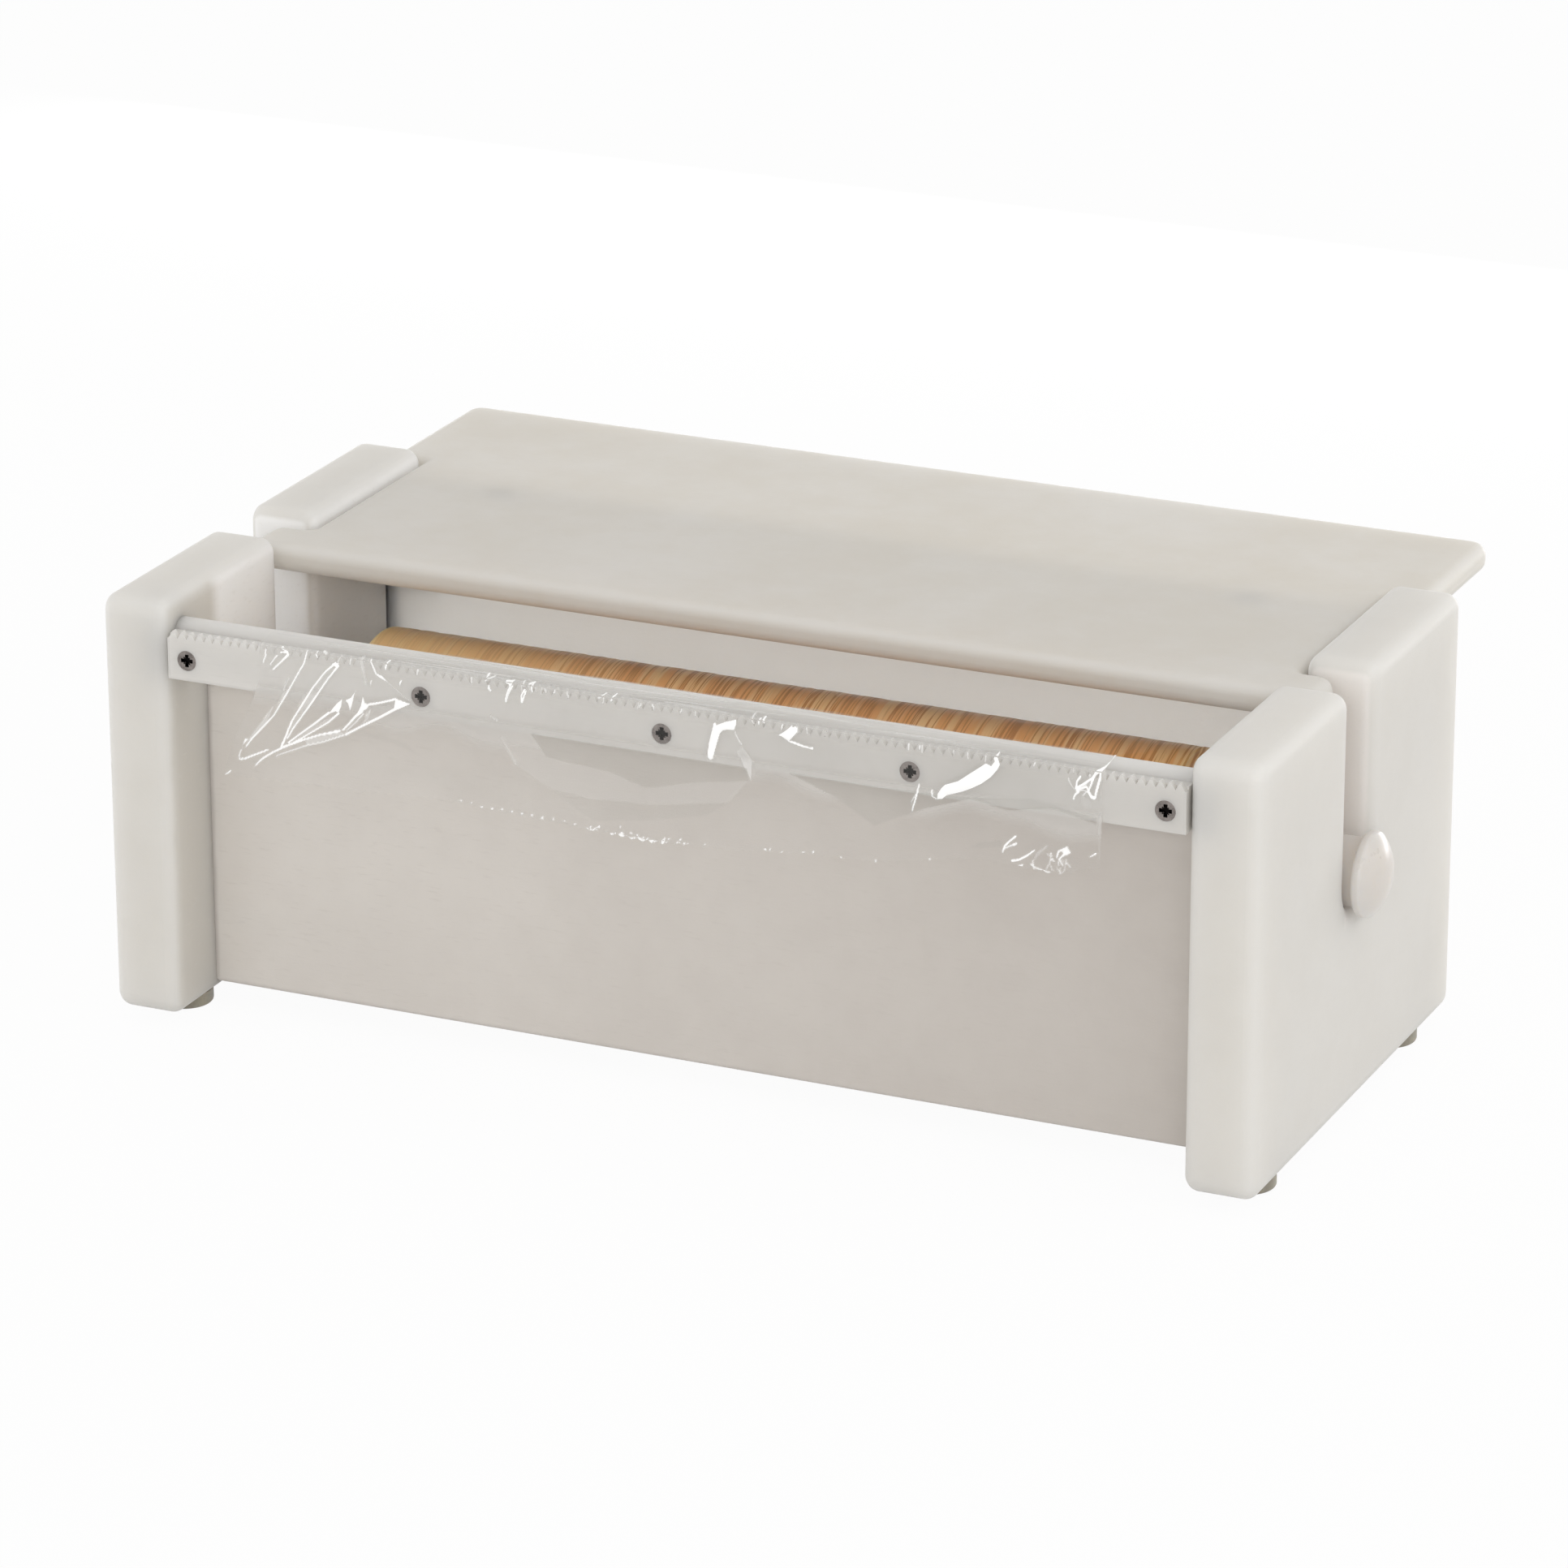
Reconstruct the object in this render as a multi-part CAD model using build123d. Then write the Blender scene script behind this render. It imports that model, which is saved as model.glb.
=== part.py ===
from build123d import *
import math
import os

# Countertop dispenser for cling film. Two slotted cheeks carry a spindle with the film roll on it. The
# film runs over a round-topped rail and past a saw-edged strip, and its free end hangs in front. A loose
# lid covers the rear. Millimetres, +Z up, +X to the right as seen from the front, which faces -Y.

# Cheeks
overall_width = 415.0  # outer face of one cheek to the outer face of the other
cheek_thickness = 25.0
cheek_depth = 189.0
cheek_height = 149.0
cheek_corner = 6.0  # corners of the cheek's outline
cheek_round = 5.0  # rounding along the outline, on both faces

# Slots and the spindle's axis
slot_width = 24.0
slot_setback = 92.0  # front of the cheek to the middle of the slot
axis_height = 82.0  # underside of the cheek to the spindle's axis

# Panels between the cheeks
panel_lift = 4.0  # underside of the cheeks to the underside of both panels
panel_round = 1.0
front_panel_setback = 27.0
front_panel_thickness = 15.0
front_panel_drop = 1.0  # underside of the rail to the top of the front panel
rear_panel_setback = 158.0
rear_panel_thickness = 15.0

# Blind dowels that join the panels to the cheeks
dowel_diameter = 8.0
dowel_length = 30.0
dowel_in_cheek = 13.0
dowel_edge = 25.0  # panel's lower and upper edge to the dowel
dowel_fit = 0.05
dowel_end_gap = 0.5

# Rail that the film runs over
rail_thickness = 10.0
rail_height = 18.2
rail_drop = 7.8  # top of the cheeks to the top of the rail
rail_tenon = 8.0  # depth that each end is let into its cheek
rail_fit = 0.05

# Saw-edged strip on the front of the rail
strip_thickness = 6.0
strip_height = 15.5  # underside to the shelf behind the teeth
strip_end_gap = 0.5
lip_thickness = 2.0
tooth_pitch = 3.3
tooth_depth = 2.6
tooth_rise = 1.5  # shelf to the tips
tooth_flat = 0.4  # width of a tip

# Countersunk screws through the strip
screw_count = 5
screw_margin = 7.5  # inner face of the cheek to the outermost screw
screw_lift = 7.0  # underside of the strip to the screws
screw_head = 7.0
screw_shank = 3.5
screw_length = 14.0
screw_tip = 2.0
screw_sink = 0.2  # face of the strip to the face of the head
screw_fit = 0.05
recess_span = 4.4
recess_width = 1.4
recess_depth = 1.1
tick_span = 3.4
tick_width = 0.5
tick_depth = 0.6

# Lid
lid_thickness = 10.0
lid_drop = 4.0  # top of the cheeks to the top of the lid
lid_reach = 12.5  # how far the ears and the wings reach past the inner faces of the cheeks
lid_overhang = 65.0  # behind the cheeks
lid_corner = 6.0
lid_round = 4.0
notch_corner = 3.0
lid_side_gap = 1.0  # to the inner faces of the cheeks
lid_front_gap = 1.0  # ear to the front of the slot
lid_ear_gap = 2.0  # ear to the rear of the slot
lid_wing_gap = 1.5  # wing to the rear of the cheek

# Pins on the rear panel that locate the lid
pin_diameter = 8.0
pin_length = 22.0
pin_rise = 6.0
pin_offset = 140.0  # middle of the lid to each pin
pin_fit = 0.05
pin_gap = 0.3  # around and above the pin, in the lid

# Spindle
spindle_end_gap = 1.5  # body of the spindle to each cheek
spindle_chamfer = 1.5
neck_gap = 0.3  # neck to the walls of its slot
knob_gap = 2.0  # knob to the outer face of the cheek
knob_diameter = 29.0
knob_thickness = 9.0  # at the middle of the dome
knob_dome = 6.0
knob_round = 1.5
knob_back_round = 1.0

# Film roll
core_bore = 40.0
core_wall = 3.0
core_length = 304.0
core_run = 0.05  # running clearance on the spindle
roll_diameter = 66.6
film_width = 300.0
wind_gap = 0.05

# Film from the roll to the front
film_thickness = 0.6
film_gap = 0.3  # film to the surfaces that it passes
film_turn = 3.0  # length that turns down over the saw edge
flap_height = 41.0
flap_folds = 10
fold_depth = 1.5  # how far a fold swings to either side
flap_lean = 10.0  # how far the left corner is drawn outwards

# Feet
foot_diameter = 19.5
foot_height = 5.0
foot_setback = 27.0  # front or rear of the cheek to the foot's middle
foot_round = 1.2
foot_screw_head = 7.6
foot_screw_head_height = 2.2
foot_screw_sink = 0.6  # sole of the foot to the head
foot_screw_shank = 4.0
foot_screw_length = 16.0
foot_screw_fit = 0.05

# Places worked out from the sizes above. Heights are above the floor, depths behind the cheeks' front.
half_width = overall_width / 2
inner_half = half_width - cheek_thickness
cheek_bottom = foot_height
cheek_top = cheek_bottom + cheek_height
axis_z = cheek_bottom + axis_height
slot_front = slot_setback - slot_width / 2
slot_rear = slot_setback + slot_width / 2
panel_bottom = cheek_bottom + panel_lift
rail_top = cheek_top - rail_drop
rail_bottom = rail_top - rail_height
rail_middle = strip_thickness + rail_thickness / 2
crown_z = rail_top - rail_thickness / 2
front_panel_top = rail_bottom - front_panel_drop
front_panel_middle = front_panel_setback + front_panel_thickness / 2
rear_panel_middle = rear_panel_setback + rear_panel_thickness / 2
lid_width = 2 * (inner_half + lid_reach)
lid_top = cheek_top - lid_drop
lid_bottom = lid_top - lid_thickness
shelf_z = rail_bottom + strip_height
tip_z = shelf_z + tooth_rise
screw_z = rail_bottom + screw_lift
screw_spacing = 2 * (inner_half - screw_margin) / (screw_count - 1)
screw_places = [screw_margin - inner_half + n * screw_spacing for n in range(screw_count)]
foot_x = half_width - cheek_thickness / 2
foot_depths = {"front": foot_setback, "rear": cheek_depth - foot_setback}
sides = {"left": -1, "right": 1}


def block(x_span, y_span, z_span):
    """Box between two places on each axis."""
    spans = (x_span, y_span, z_span)
    middle = [(low + high) / 2 for low, high in spans]
    return Pos(*middle) * Box(*[high - low for low, high in spans])


def rod_x(x_span, depth, height, diameter):
    """Round bar along X."""
    bar = Rot(0, 90, 0) * Cylinder(diameter / 2, x_span[1] - x_span[0])
    return Pos(sum(x_span) / 2, depth, height) * bar


def rod_z(x, depth, z_span, diameter):
    """Round bar along Z."""
    return Pos(x, depth, sum(z_span) / 2) * Cylinder(diameter / 2, z_span[1] - z_span[0])


def dowel_span(side, grow):
    """Ends of a dowel along X on one side, or of its hole when grow is above zero."""
    ends = (inner_half + dowel_in_cheek - dowel_length - grow, inner_half + dowel_in_cheek + grow)
    return tuple(sorted(side * end for end in ends))


def dowels(middle, top, grow=0.0, end_grow=0.0, chosen=(-1, 1)):
    """Dowels of one panel: two at each end, near its lower and its upper edge."""
    heights = (panel_bottom + dowel_edge, top - dowel_edge)
    diameter = dowel_diameter + 2 * grow
    return [rod_x(dowel_span(side, end_grow), middle, z, diameter) for side in chosen for z in heights]


def rail_solid(half_length, grow=0.0):
    """Bar with a half-round top, or the pocket for its end when grow is above zero."""
    radius = rail_thickness / 2 + grow
    low = rail_bottom - grow
    section = Pos(rail_middle, (low + crown_z) / 2) * Rectangle(2 * radius, crown_z - low)
    section += Pos(rail_middle, crown_z) * Circle(radius)
    return extrude(Plane.YZ * section, half_length, both=True)


def foot_screw(side, depth, grow=0.0):
    """Pan-headed screw of one foot, or the hole for it when grow is above zero."""
    face = 0 if grow else foot_screw_sink
    seat = foot_screw_sink + foot_screw_head_height
    end = seat + foot_screw_length + grow
    head = rod_z(side * foot_x, depth, (face, seat), foot_screw_head + 2 * grow)
    return head + rod_z(side * foot_x, depth, (face, end), foot_screw_shank + 2 * grow)


def cheek(side):
    """Slotted end board, rounded on every edge, with holes for the dowels, the rail and the feet."""
    outline = Pos(cheek_depth / 2, cheek_height / 2) * Rectangle(cheek_depth, cheek_height)
    rise = cheek_height - axis_height
    outline -= Pos(slot_setback, axis_height + rise / 2) * Rectangle(slot_width, rise)
    outline -= Pos(slot_setback, axis_height) * Circle(slot_width / 2)
    ends = outline.vertices().group_by(Axis.Y)
    outline = fillet(ends[0] + ends[-1], cheek_corner)
    solid = extrude(Plane.YZ * outline, cheek_thickness / 2, both=True)
    faces = solid.faces().sort_by(Axis.X)
    solid = fillet(faces[0].edges() + faces[-1].edges(), cheek_round)
    solid = Pos(side * foot_x, 0, cheek_bottom) * solid
    solid -= dowels(front_panel_middle, front_panel_top, dowel_fit, dowel_end_gap, [side])
    solid -= dowels(rear_panel_middle, lid_bottom, dowel_fit, dowel_end_gap, [side])
    solid -= rail_solid(inner_half + rail_tenon + rail_fit, rail_fit)
    return solid - [foot_screw(side, depth, foot_screw_fit) for depth in foot_depths.values()]


def panel(setback, thickness, top):
    """Plain board between the cheeks, with its long edges softened."""
    solid = block((-inner_half, inner_half), (setback, setback + thickness), (panel_bottom, top))
    solid = fillet(solid.edges().filter_by(Axis.X), panel_round)
    return solid - dowels(setback + thickness / 2, top, dowel_fit, dowel_end_gap)


def pins(diameter, rise):
    """Locating pins in the top edge of the rear panel, or the holes for them."""
    z_span = (lid_bottom + pin_rise - pin_length, lid_bottom + rise)
    return [rod_z(side * pin_offset, rear_panel_middle, z_span, diameter) for side in sides.values()]


def screw(x, grow=0.0):
    """Countersunk screw of the strip, or the hole for it when grow is above zero."""
    head = screw_head / 2 + grow
    shank = screw_shank / 2 + grow
    neck = screw_sink + (screw_head - screw_shank) / 2
    end = screw_length + grow
    face = [(0, -screw_head), (head, -screw_head)] if grow else [(0, screw_sink)]
    points = face + [(head, screw_sink), (shank, neck), (shank, end - screw_tip), (0, end)]
    return Pos(x, 0, screw_z) * revolve(make_face(Polyline(*points, close=True)), Axis.Y)


def driven_screw(x):
    """Strip screw with its cross recess and the four ticks between the arms."""
    recess = Part()
    for quarter in (0, 90):
        recess += Rot(0, quarter, 0) * Box(recess_span, 2 * recess_depth, recess_width)
        recess += Rot(0, quarter + 45, 0) * Box(tick_span, 2 * tick_depth, tick_width)
    return screw(x) - Pos(x, screw_sink, screw_z) * recess


def strip():
    """Strip with a row of teeth along the front of its top edge, and holes for its screws."""
    half_length = inner_half - strip_end_gap
    root_z = tip_z - tooth_depth
    count = int((2 * half_length - tooth_flat) / tooth_pitch)
    slope = (tooth_pitch - tooth_flat) / 2
    saw = [(-half_length, rail_bottom), (-half_length, root_z)]
    for n in range(count):
        x = (n - count / 2) * tooth_pitch
        saw += [(x, root_z), (x + slope, tip_z), (x + slope + tooth_flat, tip_z)]
    saw += [(count / 2 * tooth_pitch, root_z), (half_length, root_z), (half_length, rail_bottom)]
    solid = extrude(Plane.XZ * make_face(Polyline(*saw, close=True)), -lip_thickness)
    solid += block((-half_length, half_length), (lip_thickness, strip_thickness), (rail_bottom, shelf_z))
    return solid - [screw(x, screw_fit) for x in screw_places]


def lid():
    """Board notched round the rear of the cheeks, with ears in the slots and wings behind."""
    front = slot_front + lid_front_gap
    rear = cheek_depth + lid_overhang
    ear_rear = slot_rear - lid_ear_gap
    wing_front = cheek_depth + lid_wing_gap
    body_width = 2 * (inner_half - lid_side_gap)

    def strip_of(width, near, far):
        return Pos(0, (near + far) / 2) * Rectangle(width, far - near)

    outline = strip_of(body_width, front, rear)
    outline += strip_of(lid_width, front, ear_rear) + strip_of(lid_width, wing_front, rear)
    inner = [v for v in outline.vertices() if abs(v.X) < (body_width + lid_width) / 4]
    outline = fillet(inner, notch_corner)
    outer = [v for v in outline.vertices() if math.isclose(abs(v.X), lid_width / 2)]
    outline = fillet(outer, lid_corner)
    solid = extrude(Pos(0, 0, lid_bottom) * outline, lid_thickness)
    flat = solid.faces().sort_by(Axis.Z)
    solid = fillet(flat[0].edges() + flat[-1].edges(), lid_round)
    return solid - pins(pin_diameter + 2 * pin_gap, pin_rise + pin_gap)


def knob(side):
    """Round knob with a domed face, outside one cheek."""
    rim_radius = knob_diameter / 2
    start = half_width + knob_gap
    end = start + knob_thickness
    ball = (rim_radius**2 + knob_dome**2) / (2 * knob_dome)
    solid = rod_x(sorted((side * start, side * end)), slot_setback, axis_z, knob_diameter)
    solid &= Pos(side * (end - ball), slot_setback, axis_z) * Rot(0, side * 90, 0) * Sphere(ball)
    for place, radius in ((0, knob_back_round), (-1, knob_round)):
        rims = solid.edges().filter_by(GeomType.CIRCLE)
        rims = rims.filter_by(lambda rim: math.isclose(rim.radius, rim_radius))
        solid = fillet(rims.sort_by(lambda rim: abs(rim.center().X))[place], radius)
    return solid


def spindle():
    """Bar that carries the roll, turned down to a neck at each slot, with a knob at each end."""
    body_half = inner_half - spindle_end_gap
    knob_start = half_width + knob_gap
    body_diameter = core_bore - 2 * core_run
    body = rod_x((-body_half, body_half), slot_setback, axis_z, body_diameter)
    ends = body.edges().filter_by(GeomType.CIRCLE)
    solid = chamfer(ends, spindle_chamfer)
    solid += rod_x((-knob_start, knob_start), slot_setback, axis_z, slot_width - 2 * neck_gap)
    for side in sides.values():
        solid += knob(side)
    return solid


def tube(length, outer, bore):
    """Round tube on the spindle's axis."""
    span = (-length / 2, length / 2)
    return rod_x(span, slot_setback, axis_z, outer) - rod_x(span, slot_setback, axis_z, bore)


def upper_normal(start, start_radius, end, end_radius):
    """Upward unit normal of the line that lies on two circles from above."""
    reach = end - start
    along = reach.normalized()
    up = Vector(-along.Y, along.X)
    up = up if up.Y > 0 else -up
    lean = (start_radius - end_radius) / reach.length
    return along * lean + up * math.sqrt(1 - lean * lean)


def film_line(stand_off):
    """One face of the film: off the roll, over the rail, over the saw edge and a little way down."""
    roll = Vector(slot_setback, axis_z)
    rail = Vector(rail_middle, crown_z)
    edge = Vector(0, tip_z)
    roll_radius = roll_diameter / 2 + stand_off
    rail_radius = rail_thickness / 2 + stand_off
    rise = upper_normal(roll, roll_radius, rail, rail_radius)
    fall = upper_normal(rail, rail_radius, edge, stand_off)
    front = Vector(-1, 0)
    on_rail = [rail + normal.normalized() * rail_radius for normal in (rise, rise + fall, fall)]
    on_edge = [edge + normal.normalized() * stand_off for normal in (fall, fall + front, front)]
    return [
        Line(roll + rise * roll_radius, on_rail[0]),
        ThreePointArc(*on_rail),
        Line(on_rail[2], on_edge[0]),
        ThreePointArc(*on_edge),
        Line(on_edge[2], on_edge[2] - Vector(0, film_turn)),
    ]


def film_web():
    """Film between the roll and the front of the saw edge."""
    near = film_line(film_gap)
    far = film_line(film_gap + film_thickness)
    caps = [Line(near[0] @ 0, far[0] @ 0), Line(near[-1] @ 1, far[-1] @ 1)]
    return extrude(Plane.YZ * make_face(near + far + caps), film_width / 2, both=True)


def flap_section(left, right, mid_depth, swing):
    """Cross-section of the hanging film: straight when swing is zero, or folded to both sides."""
    step = (right - left) / flap_folds

    def folded(depth):
        edges = []
        for n in range(flap_folds):
            x = left + n * step
            bulge = depth + swing * (-1) ** n
            ends = ((x, depth), (x + step, depth))
            edges.append(ThreePointArc(ends[0], (x + step / 2, bulge), ends[1]) if swing else Line(*ends))
        return edges

    near = folded(mid_depth - film_thickness / 2)
    far = folded(mid_depth + film_thickness / 2)
    caps = [Line(near[0] @ 0, far[0] @ 0), Line(near[-1] @ 1, far[-1] @ 1)]
    return make_face(near + far + caps)


def film_flap():
    """Free end of the film, flat at the saw edge and folded below, with its left corner drawn out."""
    top_z = tip_z - film_turn
    low_z = top_z - flap_height
    half = film_width / 2
    depth = -film_gap - film_thickness / 2
    upper = Pos(0, 0, top_z) * flap_section(-half, half, depth, 0)
    lower = Pos(0, 0, low_z) * flap_section(-half - flap_lean, half, depth - fold_depth, fold_depth)
    return loft([lower, upper], ruled=True)


def foot(side, depth):
    """Round foot with a softened sole and a hole for its screw."""
    solid = rod_z(side * foot_x, depth, (0, foot_height), foot_diameter)
    solid = fillet(solid.edges().filter_by(GeomType.CIRCLE).sort_by(Axis.Z)[0], foot_round)
    return solid - foot_screw(side, depth, foot_screw_fit)


front_panel = panel(front_panel_setback, front_panel_thickness, front_panel_top)
rear_panel = panel(rear_panel_setback, rear_panel_thickness, lid_bottom)
nodes = {f"{name}_cheek": cheek(side) for name, side in sides.items()}
nodes["front_panel"] = front_panel
nodes["rear_panel"] = rear_panel - pins(pin_diameter + 2 * pin_fit, pin_rise)
nodes["front_panel_dowels"] = Compound(dowels(front_panel_middle, front_panel_top))
nodes["rear_panel_dowels"] = Compound(dowels(rear_panel_middle, lid_bottom))
nodes["cutter_rail"] = rail_solid(inner_half + rail_tenon) - [screw(x, screw_fit) for x in screw_places]
nodes["cutter_strip"] = strip()
nodes["strip_screws"] = Compound([driven_screw(x) for x in screw_places])
nodes["lid_board"] = lid()
nodes["lid_pins"] = Compound(pins(pin_diameter, pin_rise))
nodes["spindle"] = spindle()
nodes["roll_core"] = tube(core_length, core_bore + 2 * core_wall, core_bore)
nodes["film_roll"] = tube(film_width, roll_diameter, core_bore + 2 * core_wall + 2 * wind_gap)
nodes["film_web"] = film_web()
nodes["film_flap"] = film_flap()
for place, depth in foot_depths.items():
    for name, side in sides.items():
        nodes[f"{place}_{name}_foot"] = foot(side, depth)
places = [(side, depth) for depth in foot_depths.values() for side in sides.values()]
nodes["foot_screws"] = Compound([foot_screw(side, depth) for side, depth in places])

# The origin lies on the floor, under the middle of the whole part.
boxes = [solid.bounding_box() for solid in nodes.values()]
middle_depth = (min(box.min.Y for box in boxes) + max(box.max.Y for box in boxes)) / 2
os.makedirs("parts", exist_ok=True)
for name, solid in nodes.items():
    export_step(Pos(0, -middle_depth, 0) * solid, f"parts/{name}.step")
print(f"middle depth {middle_depth:.3f}, axis height {axis_z:.3f}, rail top {rail_top:.3f}")
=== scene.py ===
import logging
import math
from dataclasses import dataclass
from enum import Enum

import bpy
import numpy as np
from mathutils import Matrix, Vector


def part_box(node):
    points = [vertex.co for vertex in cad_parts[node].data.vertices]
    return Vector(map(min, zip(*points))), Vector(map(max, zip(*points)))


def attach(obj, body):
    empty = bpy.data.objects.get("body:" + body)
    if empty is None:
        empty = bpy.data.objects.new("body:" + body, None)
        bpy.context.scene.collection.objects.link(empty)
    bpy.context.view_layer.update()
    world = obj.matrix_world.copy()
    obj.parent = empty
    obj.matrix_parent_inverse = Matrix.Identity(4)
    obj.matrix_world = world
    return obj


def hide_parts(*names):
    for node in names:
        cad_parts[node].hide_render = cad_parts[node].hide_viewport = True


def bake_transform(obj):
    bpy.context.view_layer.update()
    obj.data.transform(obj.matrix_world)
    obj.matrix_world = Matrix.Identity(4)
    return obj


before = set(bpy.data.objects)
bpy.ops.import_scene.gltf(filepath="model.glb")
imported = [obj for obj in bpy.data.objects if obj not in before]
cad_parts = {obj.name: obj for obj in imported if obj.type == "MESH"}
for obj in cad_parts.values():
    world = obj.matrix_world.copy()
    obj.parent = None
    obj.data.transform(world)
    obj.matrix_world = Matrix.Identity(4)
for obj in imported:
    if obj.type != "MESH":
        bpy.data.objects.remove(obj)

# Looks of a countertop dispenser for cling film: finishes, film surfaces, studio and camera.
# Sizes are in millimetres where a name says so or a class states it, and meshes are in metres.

LOG = logging.getLogger("dispenser")
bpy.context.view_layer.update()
MM = 0.001
WHITE = (1.0, 1.0, 1.0)
BLACK = (0.0, 0.0, 0.0)
NOISE_ROUGHNESS = 0.55

Pair = tuple[float, float]
Triple = tuple[float, float, float]
Colour = Triple
Path = tuple[Pair, ...]
Socket = bpy.types.NodeSocket


class Slot(str, Enum):
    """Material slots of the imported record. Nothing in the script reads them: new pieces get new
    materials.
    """

    WOUND_FILM = "amber_film"
    CLEAR_FILM = "clear_film"


class Effect(Enum):
    """Surface effects that more than one finish uses."""

    MOTTLE = "mottle"
    SANDING = "sanding"
    EDGES = "edge_rub"
    RINGS = "turning_rings"


@dataclass(frozen=True)
class Span:
    """Box of one node at rest, in metres."""

    low: np.ndarray
    high: np.ndarray

    @classmethod
    def of(cls, node: str) -> "Span":
        """Reads the box of a node from the frame."""
        low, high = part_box(node)
        return cls(np.array(low), np.array(high))

    @property
    def centre(self) -> np.ndarray:
        """Middle of the box."""
        return (self.low + self.high) / 2

    @property
    def half(self) -> np.ndarray:
        """Half of the box's size."""
        return (self.high - self.low) / 2


# Numeric helpers


def smooth_step(low: float, high: float, value: np.ndarray) -> np.ndarray:
    """Smooth ramp from 0 at low to 1 at high.

    Args:
        low: value where the ramp starts.
        high: value where the ramp ends, below low for a falling ramp.
        value: array to ramp.

    Returns:
        Array of the same shape, from 0 to 1.
    """
    share = np.clip((value - low) / (high - low), 0.0, 1.0)
    return share * share * (3.0 - 2.0 * share)


def rough_line(at: np.ndarray, spacing: float, seed: int) -> np.ndarray:
    """Smooth random curve: seeded values on even knots, joined by cosine ramps.

    Args:
        at: places along the line.
        spacing: distance between knots, in the same unit.
        seed: seed of the values.

    Returns:
        Values from -1 to 1 at those places.
    """
    start = at.min() - spacing
    count = int((at.max() - start) / spacing) + 3
    knots = np.random.default_rng(seed).uniform(-1.0, 1.0, count)
    step = (at - start) / spacing
    index = np.floor(step).astype(int)
    ease = (1.0 - np.cos(np.pi * (step - index))) / 2
    return knots[index] * (1.0 - ease) + knots[index + 1] * ease


def soft_profile(at: np.ndarray, knots: Path) -> np.ndarray:
    """Curve through a few knots, with a cosine ramp from each to the next.

    Args:
        at: places along the curve.
        knots: pairs of place and value, in rising order of place.

    Returns:
        Values at those places.
    """
    places, values = np.array(knots).T
    index = np.clip(np.searchsorted(places, at) - 1, 0, len(places) - 2)
    share = np.clip((at - places[index]) / (places[index + 1] - places[index]), 0.0, 1.0)
    ease = (1.0 - np.cos(np.pi * share)) / 2
    return values[index] * (1.0 - ease) + values[index + 1] * ease


def to_path(across: np.ndarray, drop: np.ndarray, path: Path) -> tuple[np.ndarray, np.ndarray]:
    """Distance from each point of a grid to a polyline.

    Args:
        across: first coordinate of the grid's points.
        drop: second coordinate.
        path: points of the polyline.

    Returns:
        The distances, and how far along the polyline the nearest point lies, from 0 to 1.
    """
    corners = np.array(path)
    steps = np.diff(corners, axis=0)
    lengths = np.hypot(steps[:, 0], steps[:, 1])
    begun = np.concatenate([[0.0], np.cumsum(lengths)])
    best = np.full(across.shape, np.inf)
    along = np.zeros(across.shape)
    for corner, step, length, before in zip(corners, steps, lengths, begun):
        offset_x, offset_y = across - corner[0], drop - corner[1]
        share = np.clip((offset_x * step[0] + offset_y * step[1]) / length**2, 0.0, 1.0)
        gap = np.hypot(offset_x - share * step[0], offset_y - share * step[1])
        nearer = gap < best
        best = np.where(nearer, gap, best)
        along = np.where(nearer, (before + share * length) / begun[-1], along)
    return best, along


def inset(across: np.ndarray, drop: np.ndarray, outline: Path) -> np.ndarray:
    """Signed distance from a closed outline, with its inside found by counting crossings.

    Args:
        across: first coordinate of the grid's points.
        drop: second coordinate.
        outline: corners of the outline.

    Returns:
        Distances, positive inside and negative outside.
    """
    crossed = np.zeros(across.shape, bool)
    for (x0, y0), (x1, y1) in zip(outline, outline[1:] + outline[:1]):
        if y0 != y1:
            spans = (y0 > drop) != (y1 > drop)
            crossed ^= spans & (across < (x1 - x0) * (drop - y0) / (y1 - y0) + x0)
    gap, _ = to_path(across, drop, outline + outline[:1])
    return np.where(crossed, gap, -gap)


def stepped(knots: Path) -> np.ndarray:
    """Places along a line, where each stretch between two knots has its own even step.

    Args:
        knots: pairs of place and step, in rising order of place. The last step isn't used.

    Returns:
        The places, from the first knot to the last.
    """
    parts = []
    for (start, step), (end, _) in zip(knots, knots[1:]):
        parts.append(np.linspace(start, end, round((end - start) / step), endpoint=False))
    return np.concatenate([*parts, [knots[-1][0]]])


def surface(name: str, points: np.ndarray, closed: bool = False, flip: bool = False) -> bpy.types.Object:
    """Mesh object with one smooth quad in each cell of a grid of points.

    Args:
        name: name of the piece.
        points: array of rows, columns and three coordinates, in metres.
        closed: True joins the last row and column to the first ones.
        flip: True turns the faces round.

    Returns:
        The new object, linked to the scene, at the origin.
    """
    rows, columns = points.shape[:2]
    index = np.arange(rows * columns).reshape(rows, columns)
    if closed:
        index = np.pad(index, ((0, 1), (0, 1)), mode="wrap")
    corners = [index[:-1, :-1], index[:-1, 1:], index[1:, 1:], index[1:, :-1]]
    quads = np.stack(corners[::-1] if flip else corners, axis=-1).reshape(-1, 4)
    mesh = bpy.data.meshes.new(name)
    mesh.vertices.add(rows * columns)
    mesh.vertices.foreach_set("co", points.astype(np.float32).ravel())
    mesh.loops.add(quads.size)
    mesh.loops.foreach_set("vertex_index", quads.astype(np.int32).ravel())
    mesh.polygons.add(len(quads))
    mesh.polygons.foreach_set("loop_start", np.arange(0, quads.size, 4, dtype=np.int32))
    mesh.polygons.foreach_set("use_smooth", np.ones(len(quads), bool))
    mesh.update(calc_edges=True)
    mesh.validate()
    piece = bpy.data.objects.new(name, mesh)
    bpy.context.scene.collection.objects.link(piece)
    return piece


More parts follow.
